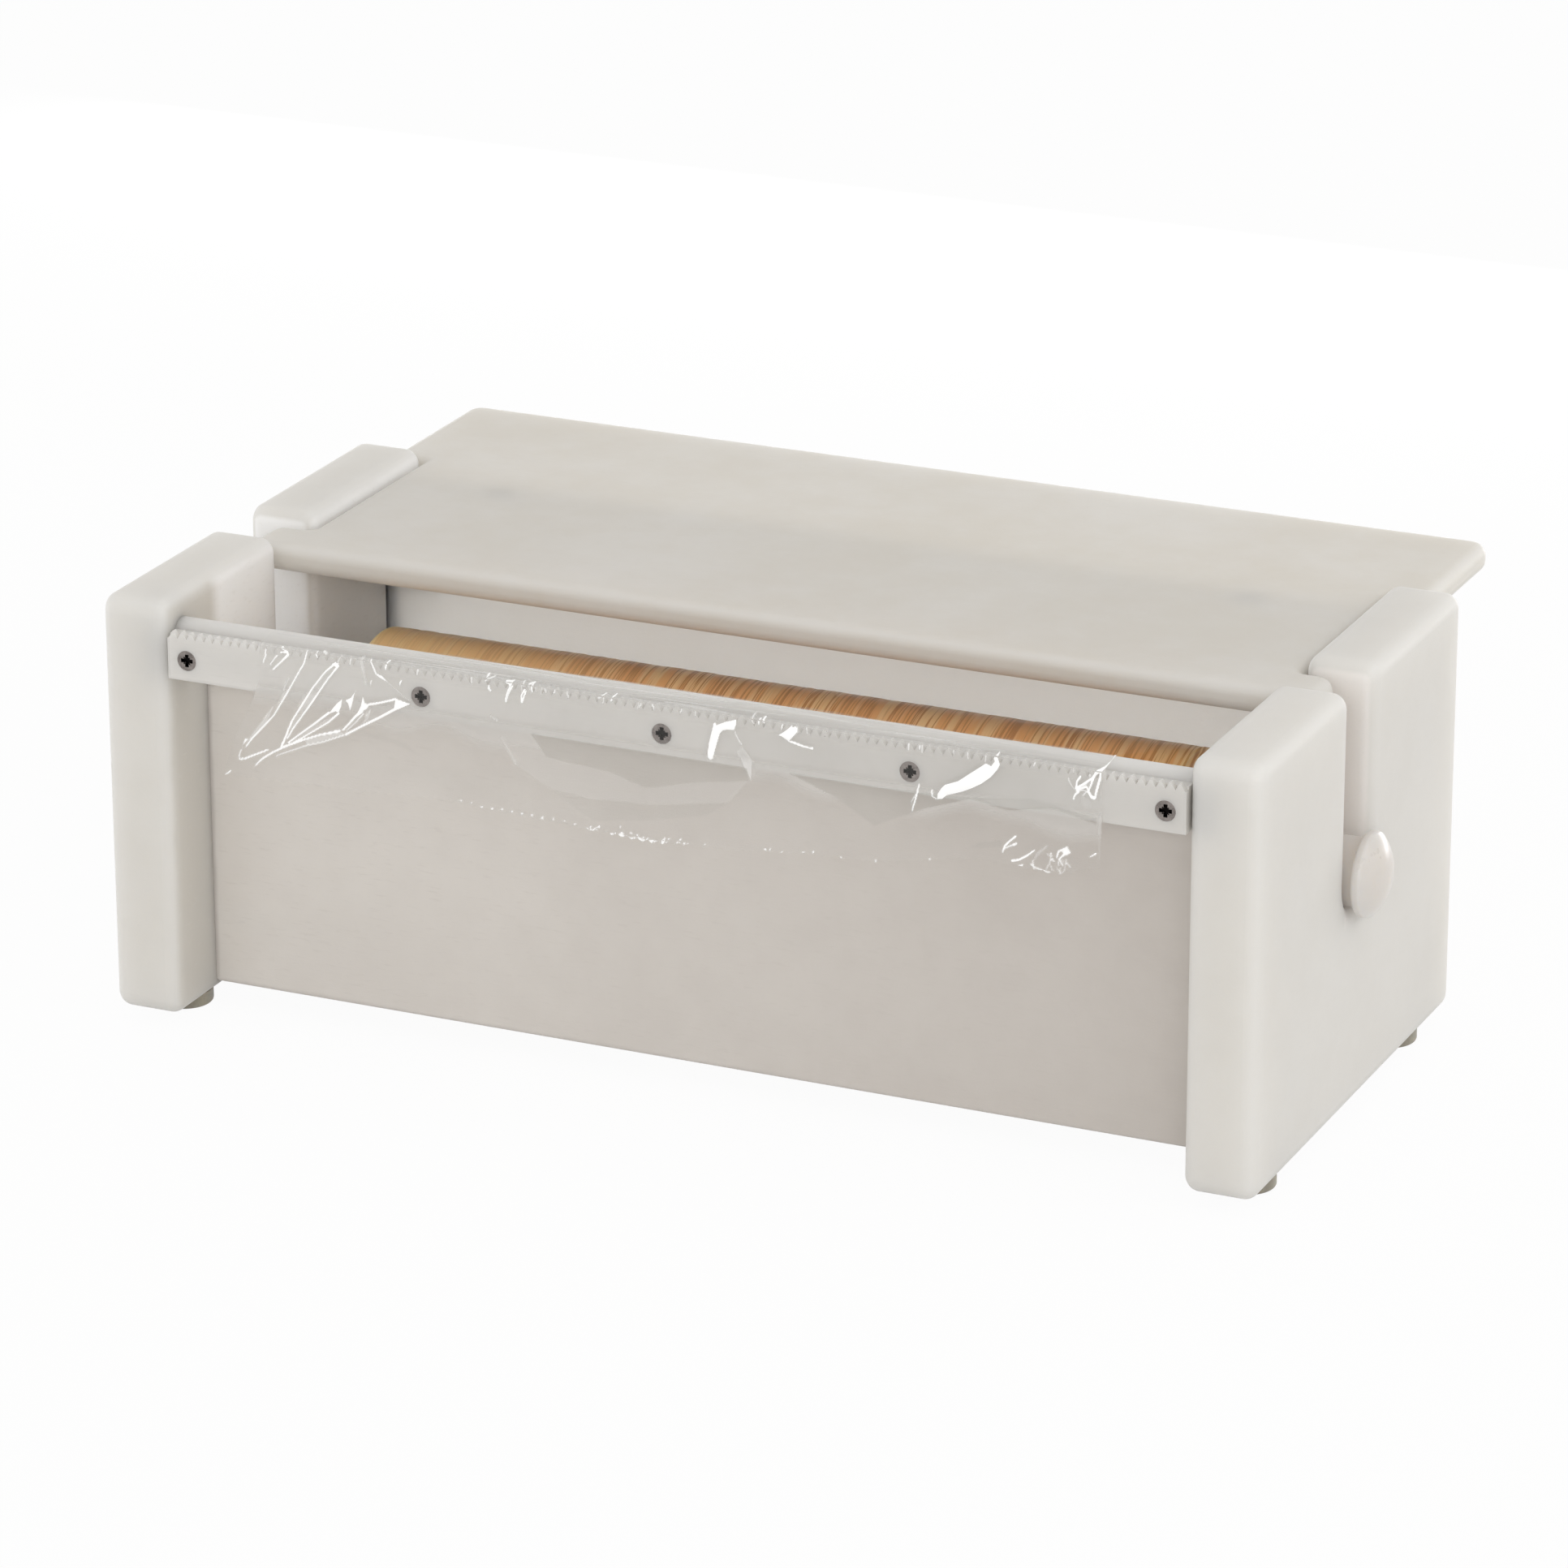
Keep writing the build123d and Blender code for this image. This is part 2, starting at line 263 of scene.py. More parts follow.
def keep_values(piece: bpy.types.Object, name: str, values: np.ndarray) -> None:
    """Stores one number per vertex under a name that materials can read.

    Args:
        piece: mesh object.
        name: name of the attribute.
        values: array in the order of the vertices.
    """
    attribute = piece.data.attributes.new(name, "FLOAT", "POINT")
    attribute.data.foreach_set("value", values.astype(np.float32).ravel())


# Node writing


class NodeWriter:
    """Writes one node tree: adds nodes, feeds their sockets and returns outputs."""

    def __init__(self, tree: bpy.types.NodeTree) -> None:
        """Starts on an empty tree."""
        self.tree = tree
        tree.nodes.clear()

    def feed(self, socket: Socket, value: object) -> None:
        """Links an output to a socket, or sets a plain value on it."""
        if isinstance(value, bpy.types.NodeSocket):
            self.tree.links.new(value, socket)
        else:
            socket.default_value = value

    def add(self, kind: str, sockets: dict[str | int, object], **settings: object) -> bpy.types.Node:
        """Adds a node.

        Args:
            kind: type of the node.
            sockets: values or outputs for its inputs, by name or number.
            **settings: properties of the node.

        Returns:
            The node.
        """
        node = self.tree.nodes.new(kind)
        for key, value in settings.items():
            setattr(node, key, value)
        for key, value in sockets.items():
            self.feed(node.inputs[key], value)
        return node

    def place(self) -> Socket:
        """Object coordinates of the surface, in metres."""
        return self.add("ShaderNodeTexCoord", {}).outputs["Object"]

    def math(self, operation: str, first: object, second: object = 0.0, clamp: bool = False) -> Socket:
        """Result of a number operation."""
        node = self.add("ShaderNodeMath", {0: first, 1: second}, operation=operation, use_clamp=clamp)
        return node.outputs[0]

    def vector(self, operation: str, first: object, second: object) -> Socket:
        """Result of a vector operation."""
        return self.add("ShaderNodeVectorMath", {0: first, 1: second}, operation=operation).outputs[0]

    def split(self, value: object) -> list[Socket]:
        """X, Y and Z of a vector."""
        return list(self.add("ShaderNodeSeparateXYZ", {0: value}).outputs)

    def join(self, first: object, second: object, third: object) -> Socket:
        """Vector of three numbers."""
        return self.add("ShaderNodeCombineXYZ", {0: first, 1: second, 2: third}).outputs[0]

    def noise(self, place: object, scale: object, detail: float = 2.0) -> Socket:
        """Smooth noise from 0 to 1."""
        sockets = {"Vector": place, "Scale": scale, "Detail": detail, "Roughness": NOISE_ROUGHNESS}
        return self.add("ShaderNodeTexNoise", sockets).outputs[0]

    def ramp(self, value: object, low: object, high: object) -> Socket:
        """Smooth ramp from 0 at low to 1 at high."""
        sockets = {"Value": value, "From Min": low, "From Max": high}
        return self.add("ShaderNodeMapRange", sockets, interpolation_type="SMOOTHSTEP").outputs[0]

    def scaled(self, value: object, low: float, high: float) -> Socket:
        """Number from 0 to 1 turned into one from low to high."""
        return self.add("ShaderNodeMapRange", {"Value": value, "To Min": low, "To Max": high}).outputs[0]

    def mix(self, share: float, first: object, second: object) -> Socket:
        """Sum of a share of the first number and the rest of the second."""
        parts = [self.math("MULTIPLY", first, share), self.math("MULTIPLY", second, 1.0 - share)]
        return self.math("ADD", *parts)

    def tint(self, share: object, first: object, second: object) -> Socket:
        """Colour between two colours."""
        opaque = [(*c, 1.0) if isinstance(c, tuple) else c for c in (first, second)]
        sockets = {"Factor": share, 6: opaque[0], 7: opaque[1]}
        return self.add("ShaderNodeMix", sockets, data_type="RGBA").outputs[2]

    def value_of(self, name: str) -> Socket:
        """Number stored on the piece's vertices."""
        return self.add("ShaderNodeAttribute", {}, attribute_name=name).outputs["Fac"]

    def bump(self, height: object, depth_mm: float) -> Socket:
        """Normal of a surface with small relief of that depth."""
        return self.add("ShaderNodeBump", {"Height": height, "Distance": depth_mm * MM}).outputs[0]

    def effect(self, effect: Effect, sockets: dict[str, object]) -> bpy.types.bpy_prop_collection:
        """Places a shared effect and gives its outputs."""
        node = self.tree.nodes.new("ShaderNodeGroup")
        node.node_tree = EffectShelf.get(effect)
        for key, value in sockets.items():
            self.feed(node.inputs[key], value)
        return node.outputs


Group = tuple[NodeWriter, bpy.types.bpy_prop_collection, bpy.types.Node]


class EffectShelf:
    """Builds each shared effect once, as a node group."""

    @classmethod
    def get(cls, effect: Effect) -> bpy.types.NodeTree:
        """Node group of an effect, built at its first use."""
        made = bpy.data.node_groups.get(effect.value)
        builders = {
            Effect.MOTTLE: cls.mottle,
            Effect.SANDING: cls.sanding,
            Effect.EDGES: cls.edges,
            Effect.RINGS: cls.rings,
        }
        return made or builders[effect](effect.value)

    @staticmethod
    def start(name: str, inputs: dict[str, str], outputs: tuple[str, ...]) -> Group:
        """Opens an empty group.

        Args:
            name: name of the group.
            inputs: input names with their kinds, Float or Vector.
            outputs: names of the outputs, which are numbers.

        Returns:
            The writer, the group's input sockets and its output node.
        """
        tree = bpy.data.node_groups.new(name, "ShaderNodeTree")
        for key, kind in inputs.items():
            tree.interface.new_socket(key, in_out="INPUT", socket_type=f"NodeSocket{kind}")
        for key in outputs:
            tree.interface.new_socket(key, in_out="OUTPUT", socket_type="NodeSocketFloat")
        write = NodeWriter(tree)
        return write, tree.nodes.new("NodeGroupInput").outputs, tree.nodes.new("NodeGroupOutput")

    @classmethod
    def mottle(cls, name: str) -> bpy.types.NodeTree:
        """Cloudy tone: broad noise with a share of finer noise in it."""
        broad_share, low, high = 0.65, 0.3, 0.7
        inputs = {"Place": "Vector", "Broad": "Float", "Fine": "Float"}
        write, given, end = cls.start(name, inputs, ("Tone",))
        broad = write.noise(given["Place"], given["Broad"], 2.0)
        fine = write.noise(given["Place"], given["Fine"], 3.0)
        write.feed(end.inputs["Tone"], write.ramp(write.mix(broad_share, broad, fine), low, high))
        return write.tree

    @classmethod
    def sanding(cls, name: str) -> bpy.types.NodeTree:
        """Short scratches along the stretched direction, and a fine speckle."""
        scratch_share, mark_low, mark_high = 0.6, 0.56, 0.74
        inputs = {"Place": "Vector", "Stretch": "Vector", "Speckle": "Float"}
        write, given, end = cls.start(name, inputs, ("Height", "Marks"))
        drawn = write.vector("MULTIPLY", given["Place"], given["Stretch"])
        scratches = write.noise(drawn, 1.0, 4.0)
        speckle = write.noise(given["Place"], given["Speckle"], 1.0)
        write.feed(end.inputs["Height"], write.mix(scratch_share, scratches, speckle))
        write.feed(end.inputs["Marks"], write.ramp(scratches, mark_low, mark_high))
        return write.tree

    @classmethod
    def edges(cls, name: str) -> bpy.types.NodeTree:
        """Mask of a board's edges: where the second nearest face of its box is close."""
        wobble_scale, narrowest, widest = 60.0, 0.5, 1.5
        inputs = {"Place": "Vector", "Centre": "Vector", "Half": "Vector", "Width": "Float"}
        write, given, end = cls.start(name, inputs, ("Mask",))
        from_centre = write.vector("SUBTRACT", given["Place"], given["Centre"])
        offset = write.vector("ABSOLUTE", from_centre, (0, 0, 0))
        near_x, near_y, near_z = write.split(write.vector("SUBTRACT", given["Half"], offset))
        lower = write.math("MINIMUM", near_x, near_y)
        upper = write.math("MAXIMUM", near_x, near_y)
        second = write.math("MAXIMUM", lower, write.math("MINIMUM", upper, near_z))
        wobble = write.scaled(write.noise(given["Place"], wobble_scale, 2.0), narrowest, widest)
        reach = write.math("MULTIPLY", given["Width"], wobble)
        rubbed = write.math("SUBTRACT", 1.0, write.ramp(second, 0.0, reach))
        write.feed(end.inputs["Mask"], rubbed)
        return write.tree

    @classmethod
    def rings(cls, name: str) -> bpy.types.NodeTree:
        """Fine grooves that a cutting tool leaves round a turned bar: uneven waves along the bar."""
        drift_scale, drift_turn, low, high = 90.0, 9.0, 0.3, 0.7
        write, given, end = cls.start(name, {"Along": "Float", "Pitch": "Float"}, ("Height",))
        phase = write.math("MULTIPLY", write.math("DIVIDE", given["Along"], given["Pitch"]), math.tau)
        place = write.join(write.math("MULTIPLY", given["Along"], drift_scale), 0.0, 0.0)
        drift = write.noise(place, 1.0, 2.0)
        wave = write.math("SINE", write.math("ADD", phase, write.math("MULTIPLY", drift, drift_turn)))
        write.feed(end.inputs["Height"], write.math("MULTIPLY", write.scaled(wave, low, high), drift))
        return write.tree


Opened = tuple[bpy.types.Material, NodeWriter, bpy.types.Node]


class Finish:
    """Base of all finishes: opens a material with its main shader."""

    @staticmethod
    def open(name: str, constants: dict[str, object]) -> Opened:
        """Makes a material with a Principled shader.

        Args:
            name: name of the material.
            constants: plain values for the shader's own sockets.

        Returns:
            The material, the writer of its tree and the shader.
        """
        material = bpy.data.materials.new(name)
        material.use_nodes = True
        write = NodeWriter(material.node_tree)
        shader = write.add("ShaderNodeBsdfPrincipled", constants)
        write.add("ShaderNodeOutputMaterial", {"Surface": shader.outputs[0]})
        return material, write, shader

    @staticmethod
    def translucent(weight: float, reach_mm: float, shares: Triple) -> dict[str, object]:
        """Shader values of a body that light enters: how much, how far, and each colour's share."""
        reach = {"Subsurface Scale": reach_mm * MM, "Subsurface Radius": shares}
        return {"Subsurface Weight": weight, **reach}


@dataclass(frozen=True)
class BoardFinish(Finish):
    """Sawn and sanded white polyethylene board, faintly cloudy, with polished edges."""

    name: str
    span: Span
    light: Colour = (0.755, 0.735, 0.70)
    dark: Colour = (0.725, 0.703, 0.665)
    edge: Colour = (0.755, 0.737, 0.705)
    roughness: float = 0.40
    smoother: float = 0.08
    rougher: float = 0.12
    polish: float = 0.05
    clouds: Pair = (11.0, 70.0)
    stretch: Triple = (160.0, 900.0, 900.0)
    speckle: float = 1500.0
    mark_share: float = 0.22
    relief_mm: float = 0.05
    edge_mm: float = 4.0
    glow: float = 1.0
    glow_mm: float = 20.0
    glow_shares: Triple = (1.0, 0.97, 0.92)
    # share of painted shade that darkens the board from left to right
    lean: float = 0.0

    def tone(self, write: NodeWriter, place: Socket) -> Socket:
        """Share of the light colour over the board: cloudy, with painted shade that darkens it from left
        to right by the lean.
        """
        broad, fine = self.clouds
        cloudy = write.effect(Effect.MOTTLE, {"Place": place, "Broad": broad, "Fine": fine})["Tone"]
        if not self.lean:
            return cloudy
        left, right = float(self.span.low[0]), float(self.span.high[0])
        return write.mix(self.lean, write.ramp(write.split(place)[0], right, left), cloudy)

    def body(self, write: NodeWriter, place: Socket) -> Socket:
        """Colour of the board before its marks and edges."""
        return write.tint(self.tone(write, place), self.dark, self.light)

    def make(self) -> bpy.types.Material:
        """Builds the material."""
        constants = {**self.translucent(self.glow, self.glow_mm, self.glow_shares), "IOR": 1.5}
        material, write, shader = self.open(self.name, constants)
        place = write.place()
        grain = {"Place": place, "Stretch": self.stretch, "Speckle": self.speckle}
        sanding = write.effect(Effect.SANDING, grain)
        box = {"Place": place, "Centre": tuple(self.span.centre), "Half": tuple(self.span.half)}
        rubbed = write.effect(Effect.EDGES, {**box, "Width": self.edge_mm * MM})["Mask"]
        marks = write.math("MULTIPLY", sanding["Marks"], self.mark_share)
        marked = write.tint(marks, self.body(write, place), self.dark)
        write.feed(shader.inputs["Base Color"], write.tint(rubbed, marked, self.edge))
        low, high = self.roughness - self.smoother, self.roughness + self.rougher
        grainy = write.scaled(sanding["Height"], low, high)
        polished = write.math("MULTIPLY", rubbed, self.polish)
        write.feed(shader.inputs["Roughness"], write.math("SUBTRACT", grainy, polished))
        write.feed(shader.inputs["Normal"], write.bump(sanding["Height"], self.relief_mm))
        return material


@dataclass(frozen=True)
class CheekFinish(BoardFinish):
    """Cheek with a cut slot, and painted light and shade on its inner face: painted shade in front of the
    panel, painted light in the roll's bay and on the slot walls.
    """

    # painted shade for the inner face in front, painted light for it in the bay and for the slot walls
    painted_front_shade: Colour = (0.64, 0.615, 0.57)
    painted_bay_light: Colour = (0.93, 0.915, 0.895)
    painted_slot_light: Colour = (0.84, 0.80, 0.765)
    bay_y: float = -0.1
    slot_y: float = 0.0
    slot_foot: float = 0.073
    slot_half_mm: float = 12.2
    face_mm: Pair = (0.2, 2.5)
    bay_blur_mm: float = 5.0
    slot_blur_mm: float = 1.0
    foot_blur_mm: float = 3.0

    def body(self, write: NodeWriter, place: Socket) -> Socket:
        """Plain colour, with painted shade on the inner face in front, painted light on it in the bay, and
        painted light on the slot walls, laid over it by place.
        """
        plain = BoardFinish.body(self, write, place)
        along, depth, height = write.split(place)
        plane = float(min(abs(self.span.low[0]), abs(self.span.high[0])))
        on_face, off_face = (plane + skin * MM for skin in self.face_mm)
        inner = write.ramp(write.math("ABSOLUTE", along), off_face, on_face)
        bay_blur = self.bay_blur_mm * MM
        inside = write.ramp(depth, self.bay_y - bay_blur, self.bay_y + bay_blur)
        outside = write.math("SUBTRACT", 1.0, inside)
        # painted shade on the inner face in front of the bay, then painted light on it inside the bay
        front_shaded = write.tint(write.math("MULTIPLY", inner, outside), plain, self.painted_front_shade)
        bay_lit = write.tint(write.math("MULTIPLY", inner, inside), front_shaded, self.painted_bay_light)
        off_slot = write.math("ABSOLUTE", write.math("SUBTRACT", depth, self.slot_y))
        wall_end = (self.slot_half_mm + self.slot_blur_mm) * MM
        in_slot = write.ramp(off_slot, wall_end, self.slot_half_mm * MM)
        foot_blur = self.foot_blur_mm * MM
        above = write.ramp(height, self.slot_foot - foot_blur, self.slot_foot + foot_blur)
        # painted light on the slot walls above the slot's foot
        return write.tint(write.math("MULTIPLY", in_slot, above), bay_lit, self.painted_slot_light)


@dataclass(frozen=True)
class LidFinish(BoardFinish):
    """Board with painted light: lighter where it hangs past the body, standing in for light that comes
    through from below.
    """

    overhang_y: float = 0.06
    slant: float = 0.096
    blur_mm: float = 22.0
    # share of the painted light behind the line
    lift: float = 0.2

    def tone(self, write: NodeWriter, place: Socket) -> Socket:
        """Cloudy tone with painted light, which rises across a slanted line near the rear."""
        cloudy = BoardFinish.tone(self, write, place)
        along, depth, _ = write.split(place)
        line = write.math("ADD", write.math("MULTIPLY", along, self.slant), self.overhang_y)
        past = write.math("SUBTRACT", depth, line)
        blur = self.blur_mm * MM
        return write.mix(self.lift, write.ramp(past, -blur, blur), cloudy)


@dataclass(frozen=True)
class TurnedFinish(Finish):
    """White bar turned on a lathe, with faint grooves round it."""

    name: str
    colour: Colour = (0.755, 0.735, 0.70)
    shade: Colour = (0.72, 0.70, 0.665)
    roughness: Pair = (0.26, 0.36)
    glow_mm: float = 20.0
    pitch_mm: float = 0.9
    relief_mm: float = 0.03

    def make(self) -> bpy.types.Material:
        """Builds the material."""
        constants = self.translucent(1.0, self.glow_mm, (1.0, 0.9, 0.75))
        material, write, shader = self.open(self.name, constants)
        place = write.place()
        along = write.split(place)[0]
        grooves = write.effect(Effect.RINGS, {"Along": along, "Pitch": self.pitch_mm * MM})["Height"]
        tone = write.effect(Effect.MOTTLE, {"Place": place, "Broad": 30.0, "Fine": 180.0})["Tone"]
        write.feed(shader.inputs["Base Color"], write.tint(tone, self.shade, self.colour))
        write.feed(shader.inputs["Roughness"], write.scaled(tone, *self.roughness))
        write.feed(shader.inputs["Normal"], write.bump(grooves, self.relief_mm))
        return material


@dataclass(frozen=True)
class SteelFinish(Finish):
    """Plated screw steel, with painted shade, near black, in the cross slot below the head's face."""

    name: str
    face: float
    axis: int
    bright: Colour = (0.32, 0.285, 0.265)
    dull: Colour = (0.17, 0.15, 0.14)
    # painted shade for the cross slot
    hollow_painted_shade: Colour = (0.006, 0.005, 0.005)
    recess_mm: Pair = (0.15, 0.8)
    roughness: Pair = (0.24, 0.42)
    relief_mm: float = 0.02

    def make(self) -> bpy.types.Material:
        """Builds the material."""
        material, write, shader = self.open(self.name, {"Metallic": 1.0})
        place = write.place()
        depth = write.split(place)[self.axis]
        rim, floor = (self.face + step * MM for step in self.recess_mm)
        sunk = write.ramp(depth, rim, floor)
        worn = write.effect(Effect.MOTTLE, {"Place": place, "Broad": 420.0, "Fine": 2600.0})["Tone"]
        metal = write.tint(worn, self.dull, self.bright)
        # painted shade in the cross slot
        write.feed(shader.inputs["Base Color"], write.tint(sunk, metal, self.hollow_painted_shade))
        write.feed(shader.inputs["Roughness"], write.scaled(worn, *self.roughness))
        write.feed(shader.inputs["Normal"], write.bump(worn, self.relief_mm))
        return material


@dataclass(frozen=True)
class CoreFinish(Finish):
    """Brown board tube, wound in a spiral, with fibres and the spiral's seam."""

    name: str
    centre: np.ndarray
    light: Colour = (0.42, 0.29, 0.17)
    dark: Colour = (0.28, 0.18, 0.10)
    stretch: Triple = (500.0, 120.0, 120.0)
    speckle: float = 900.0
    seam_pitch_mm: float = 62.0
    seam_share: float = 0.012
    relief_mm: float = 0.06

    def make(self) -> bpy.types.Material:
        """Builds the material."""
        material, write, shader = self.open(self.name, {"Roughness": 0.85})
        place = write.vector("SUBTRACT", write.place(), tuple(self.centre))
        along, depth, height = write.split(place)
        turn = write.math("DIVIDE", write.math("ARCTAN2", height, depth), math.tau)
        laps = write.math("ADD", write.math("DIVIDE", along, self.seam_pitch_mm * MM), turn)
        seam = write.ramp(write.math("PINGPONG", laps, 0.5), 0.0, self.seam_share)
        grain = {"Place": place, "Stretch": self.stretch, "Speckle": self.speckle}
        fibre = write.effect(Effect.SANDING, grain)
        body = write.tint(fibre["Height"], self.dark, self.light)
        write.feed(shader.inputs["Base Color"], write.tint(seam, self.dark, body))
        relief = write.math("ADD", fibre["Height"], seam)
        write.feed(shader.inputs["Normal"], write.bump(relief, self.relief_mm))
        return material


@dataclass(frozen=True)
class Streaks:
    """Streaks round the roll: how fine along it, how they change round it, and the noise that shows."""

    fineness: float
    change: float
    detail: float
    low: float
    high: float


@dataclass(frozen=True)
class WoundFilmFinish(Finish):
    """Wound film over its brown core: amber, with streaks round the roll and a brighter left end."""

    name: str
    centre: np.ndarray
    half_length: float
    light: Colour = (0.99, 0.645, 0.325)
    middle: Colour = (0.90, 0.47, 0.187)
    dark: Colour = (0.57, 0.25, 0.082)
    pale: Colour = (0.99, 0.665, 0.33)
    pale_mm: float = 120.0
    pale_share: float = 0.75
    slant: Pair = (0.13, -0.24)
    bands: Streaks = Streaks(260.0, 0.4, 2.0, 0.43, 0.57)
    lines: Streaks = Streaks(1150.0, 0.6, 2.0, 0.40, 0.50)
    calm: Streaks = Streaks(26.0, 0.8, 1.0, 0.3, 0.7)
    calm_share: float = 0.3
    glow: float = 0.6
    glow_mm: float = 10.0
    relief_mm: float = 0.05

    def make(self) -> bpy.types.Material:
        """Builds the material.

        The streaks are noise that is short along the roll and long round it. They lie on planes that slant
        by a share of the depth and of the height.
        """
        constants = {"Coat Weight": 0.3, "Coat Roughness": 0.15, "Roughness": 0.45}
        constants |= self.translucent(self.glow, self.glow_mm, (1.0, 0.8, 0.6))
        material, write, shader = self.open(self.name, constants)
        place = write.vector("SUBTRACT", write.place(), tuple(self.centre))
        along, depth, height = write.split(place)
        outward = {0: write.join(0.0, depth, height)}
        turn = write.add("ShaderNodeVectorMath", outward, operation="NORMALIZE").outputs[0]
        _, round_y, round_z = write.split(turn)
        leans = [write.math("MULTIPLY", way, share) for way, share in zip((depth, height), self.slant)]
        across_roll = write.math("ADD", along, write.math("ADD", *leans))

        def drawn(streaks: Streaks) -> Socket:
            """Noise drawn out round the roll, from 0 to 1."""
            wide = write.math("MULTIPLY", across_roll, streaks.fineness)
            across = [write.math("MULTIPLY", way, streaks.change) for way in (round_y, round_z)]
            noise = write.noise(write.join(wide, *across), 1.0, streaks.detail)
            return write.ramp(noise, streaks.low, streaks.high)

        bands, lines, calm = (drawn(streaks) for streaks in (self.bands, self.lines, self.calm))
        body = write.tint(bands, self.middle, self.light)
        lined = write.tint(lines, self.dark, body)
        toned = write.tint(write.math("MULTIPLY", calm, self.calm_share), lined, self.middle)
        from_left = write.math("ADD", along, self.half_length)
        paler = write.math("SUBTRACT", 1.0, write.ramp(from_left, 0.0, self.pale_mm * MM))
        paler = write.math("MULTIPLY", paler, self.pale_share)
        write.feed(shader.inputs["Base Color"], write.tint(paler, toned, self.pale))
        write.feed(shader.inputs["Normal"], write.bump(bands, self.relief_mm))
        return material


@dataclass(frozen=True)
class ClearFilmFinish(Finish):
    """Thin clear film: hazy where it lies double, with painted shadow in patches where it lies single, and
    painted white highlights with a faint painted glow at sharp creases.
    """

    name: str
    # white of the painted highlights; the grey below the haze colour is painted shadow
    white: Colour = (0.97, 0.97, 0.965)
    hazy: Colour = (0.76, 0.74, 0.715)
    painted_shadow: Colour = (0.42, 0.43, 0.40)
    clear: float = 0.012
    haze: float = 0.5
    # alpha of the painted shadow
    shade: float = 0.14
    rim: float = 0.05
    rim_power: float = 3.0
    ripple: float = 180.0
    relief_mm: float = 0.06

    def make(self) -> bpy.types.Material:
        """Builds the material. Alpha adds up the film itself, its layers, painted shadow, painted
        highlights at creases and slant.
        """
        # faint painted glow of the highlights at creases
        constants = {"Roughness": 0.09, "IOR": 1.5, "Emission Strength": 0.16}
        material, write, shader = self.open(self.name, constants)
        painted_glint, layers, painted_shadow_share = (write.value_of(name) for name in ("painted_glint", "layers", "shade"))
        # painted shadow where the film lies single, painted white highlights at creases
        cloudy = write.tint(painted_shadow_share, self.hazy, self.painted_shadow)
        write.feed(shader.inputs["Base Color"], write.tint(painted_glint, cloudy, self.white))
        # painted glow at the creases, though the film is no lamp
        write.feed(shader.inputs["Emission Color"], write.tint(painted_glint, BLACK, WHITE))
        slant = write.add("ShaderNodeLayerWeight", {"Blend": 0.25}).outputs["Facing"]
        slant = write.math("MULTIPLY", write.math("POWER", slant, self.rim_power), self.rim)
        veil = write.math("ADD", write.math("MULTIPLY", layers, self.haze), self.clear)
        veil = write.math("ADD", veil, write.math("MULTIPLY", painted_shadow_share, self.shade))
        body = write.math("ADD", veil, slant)
        write.feed(shader.inputs["Alpha"], write.math("ADD", body, painted_glint, clamp=True))
        ripple = write.noise(write.place(), self.ripple, 2.0)
        write.feed(shader.inputs["Normal"], write.bump(ripple, self.relief_mm))
        return material


@dataclass(frozen=True)
class RubberFinish(Finish):
    """Smoky, slightly translucent rubber of the feet, cloudy all over."""

    name: str
    light: Colour = (0.42, 0.39, 0.31)
    dark: Colour = (0.29, 0.265, 0.215)
    roughness: Pair = (0.38, 0.52)
    relief_mm: float = 0.05

    def make(self) -> bpy.types.Material:
        """Builds the material."""
        constants = {"Subsurface Weight": 0.3, "Subsurface Scale": 0.003}
        material, write, shader = self.open(self.name, constants)
        place = write.place()
        tone = write.effect(Effect.MOTTLE, {"Place": place, "Broad": 160.0, "Fine": 900.0})["Tone"]
        write.feed(shader.inputs["Base Color"], write.tint(tone, self.dark, self.light))
        write.feed(shader.inputs["Roughness"], write.scaled(tone, *self.roughness))
        write.feed(shader.inputs["Normal"], write.bump(tone, self.relief_mm))
        return material


# Sub-assemblies


def dress(node: str, finish: Finish) -> None:
    """Gives a frame node its material and reports it.

    Args:
        node: name of the node.
        finish: finish that makes the material.
    """
    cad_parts[node].material_slots[0].material = finish.make()
    LOG.info("dressed %s", node)


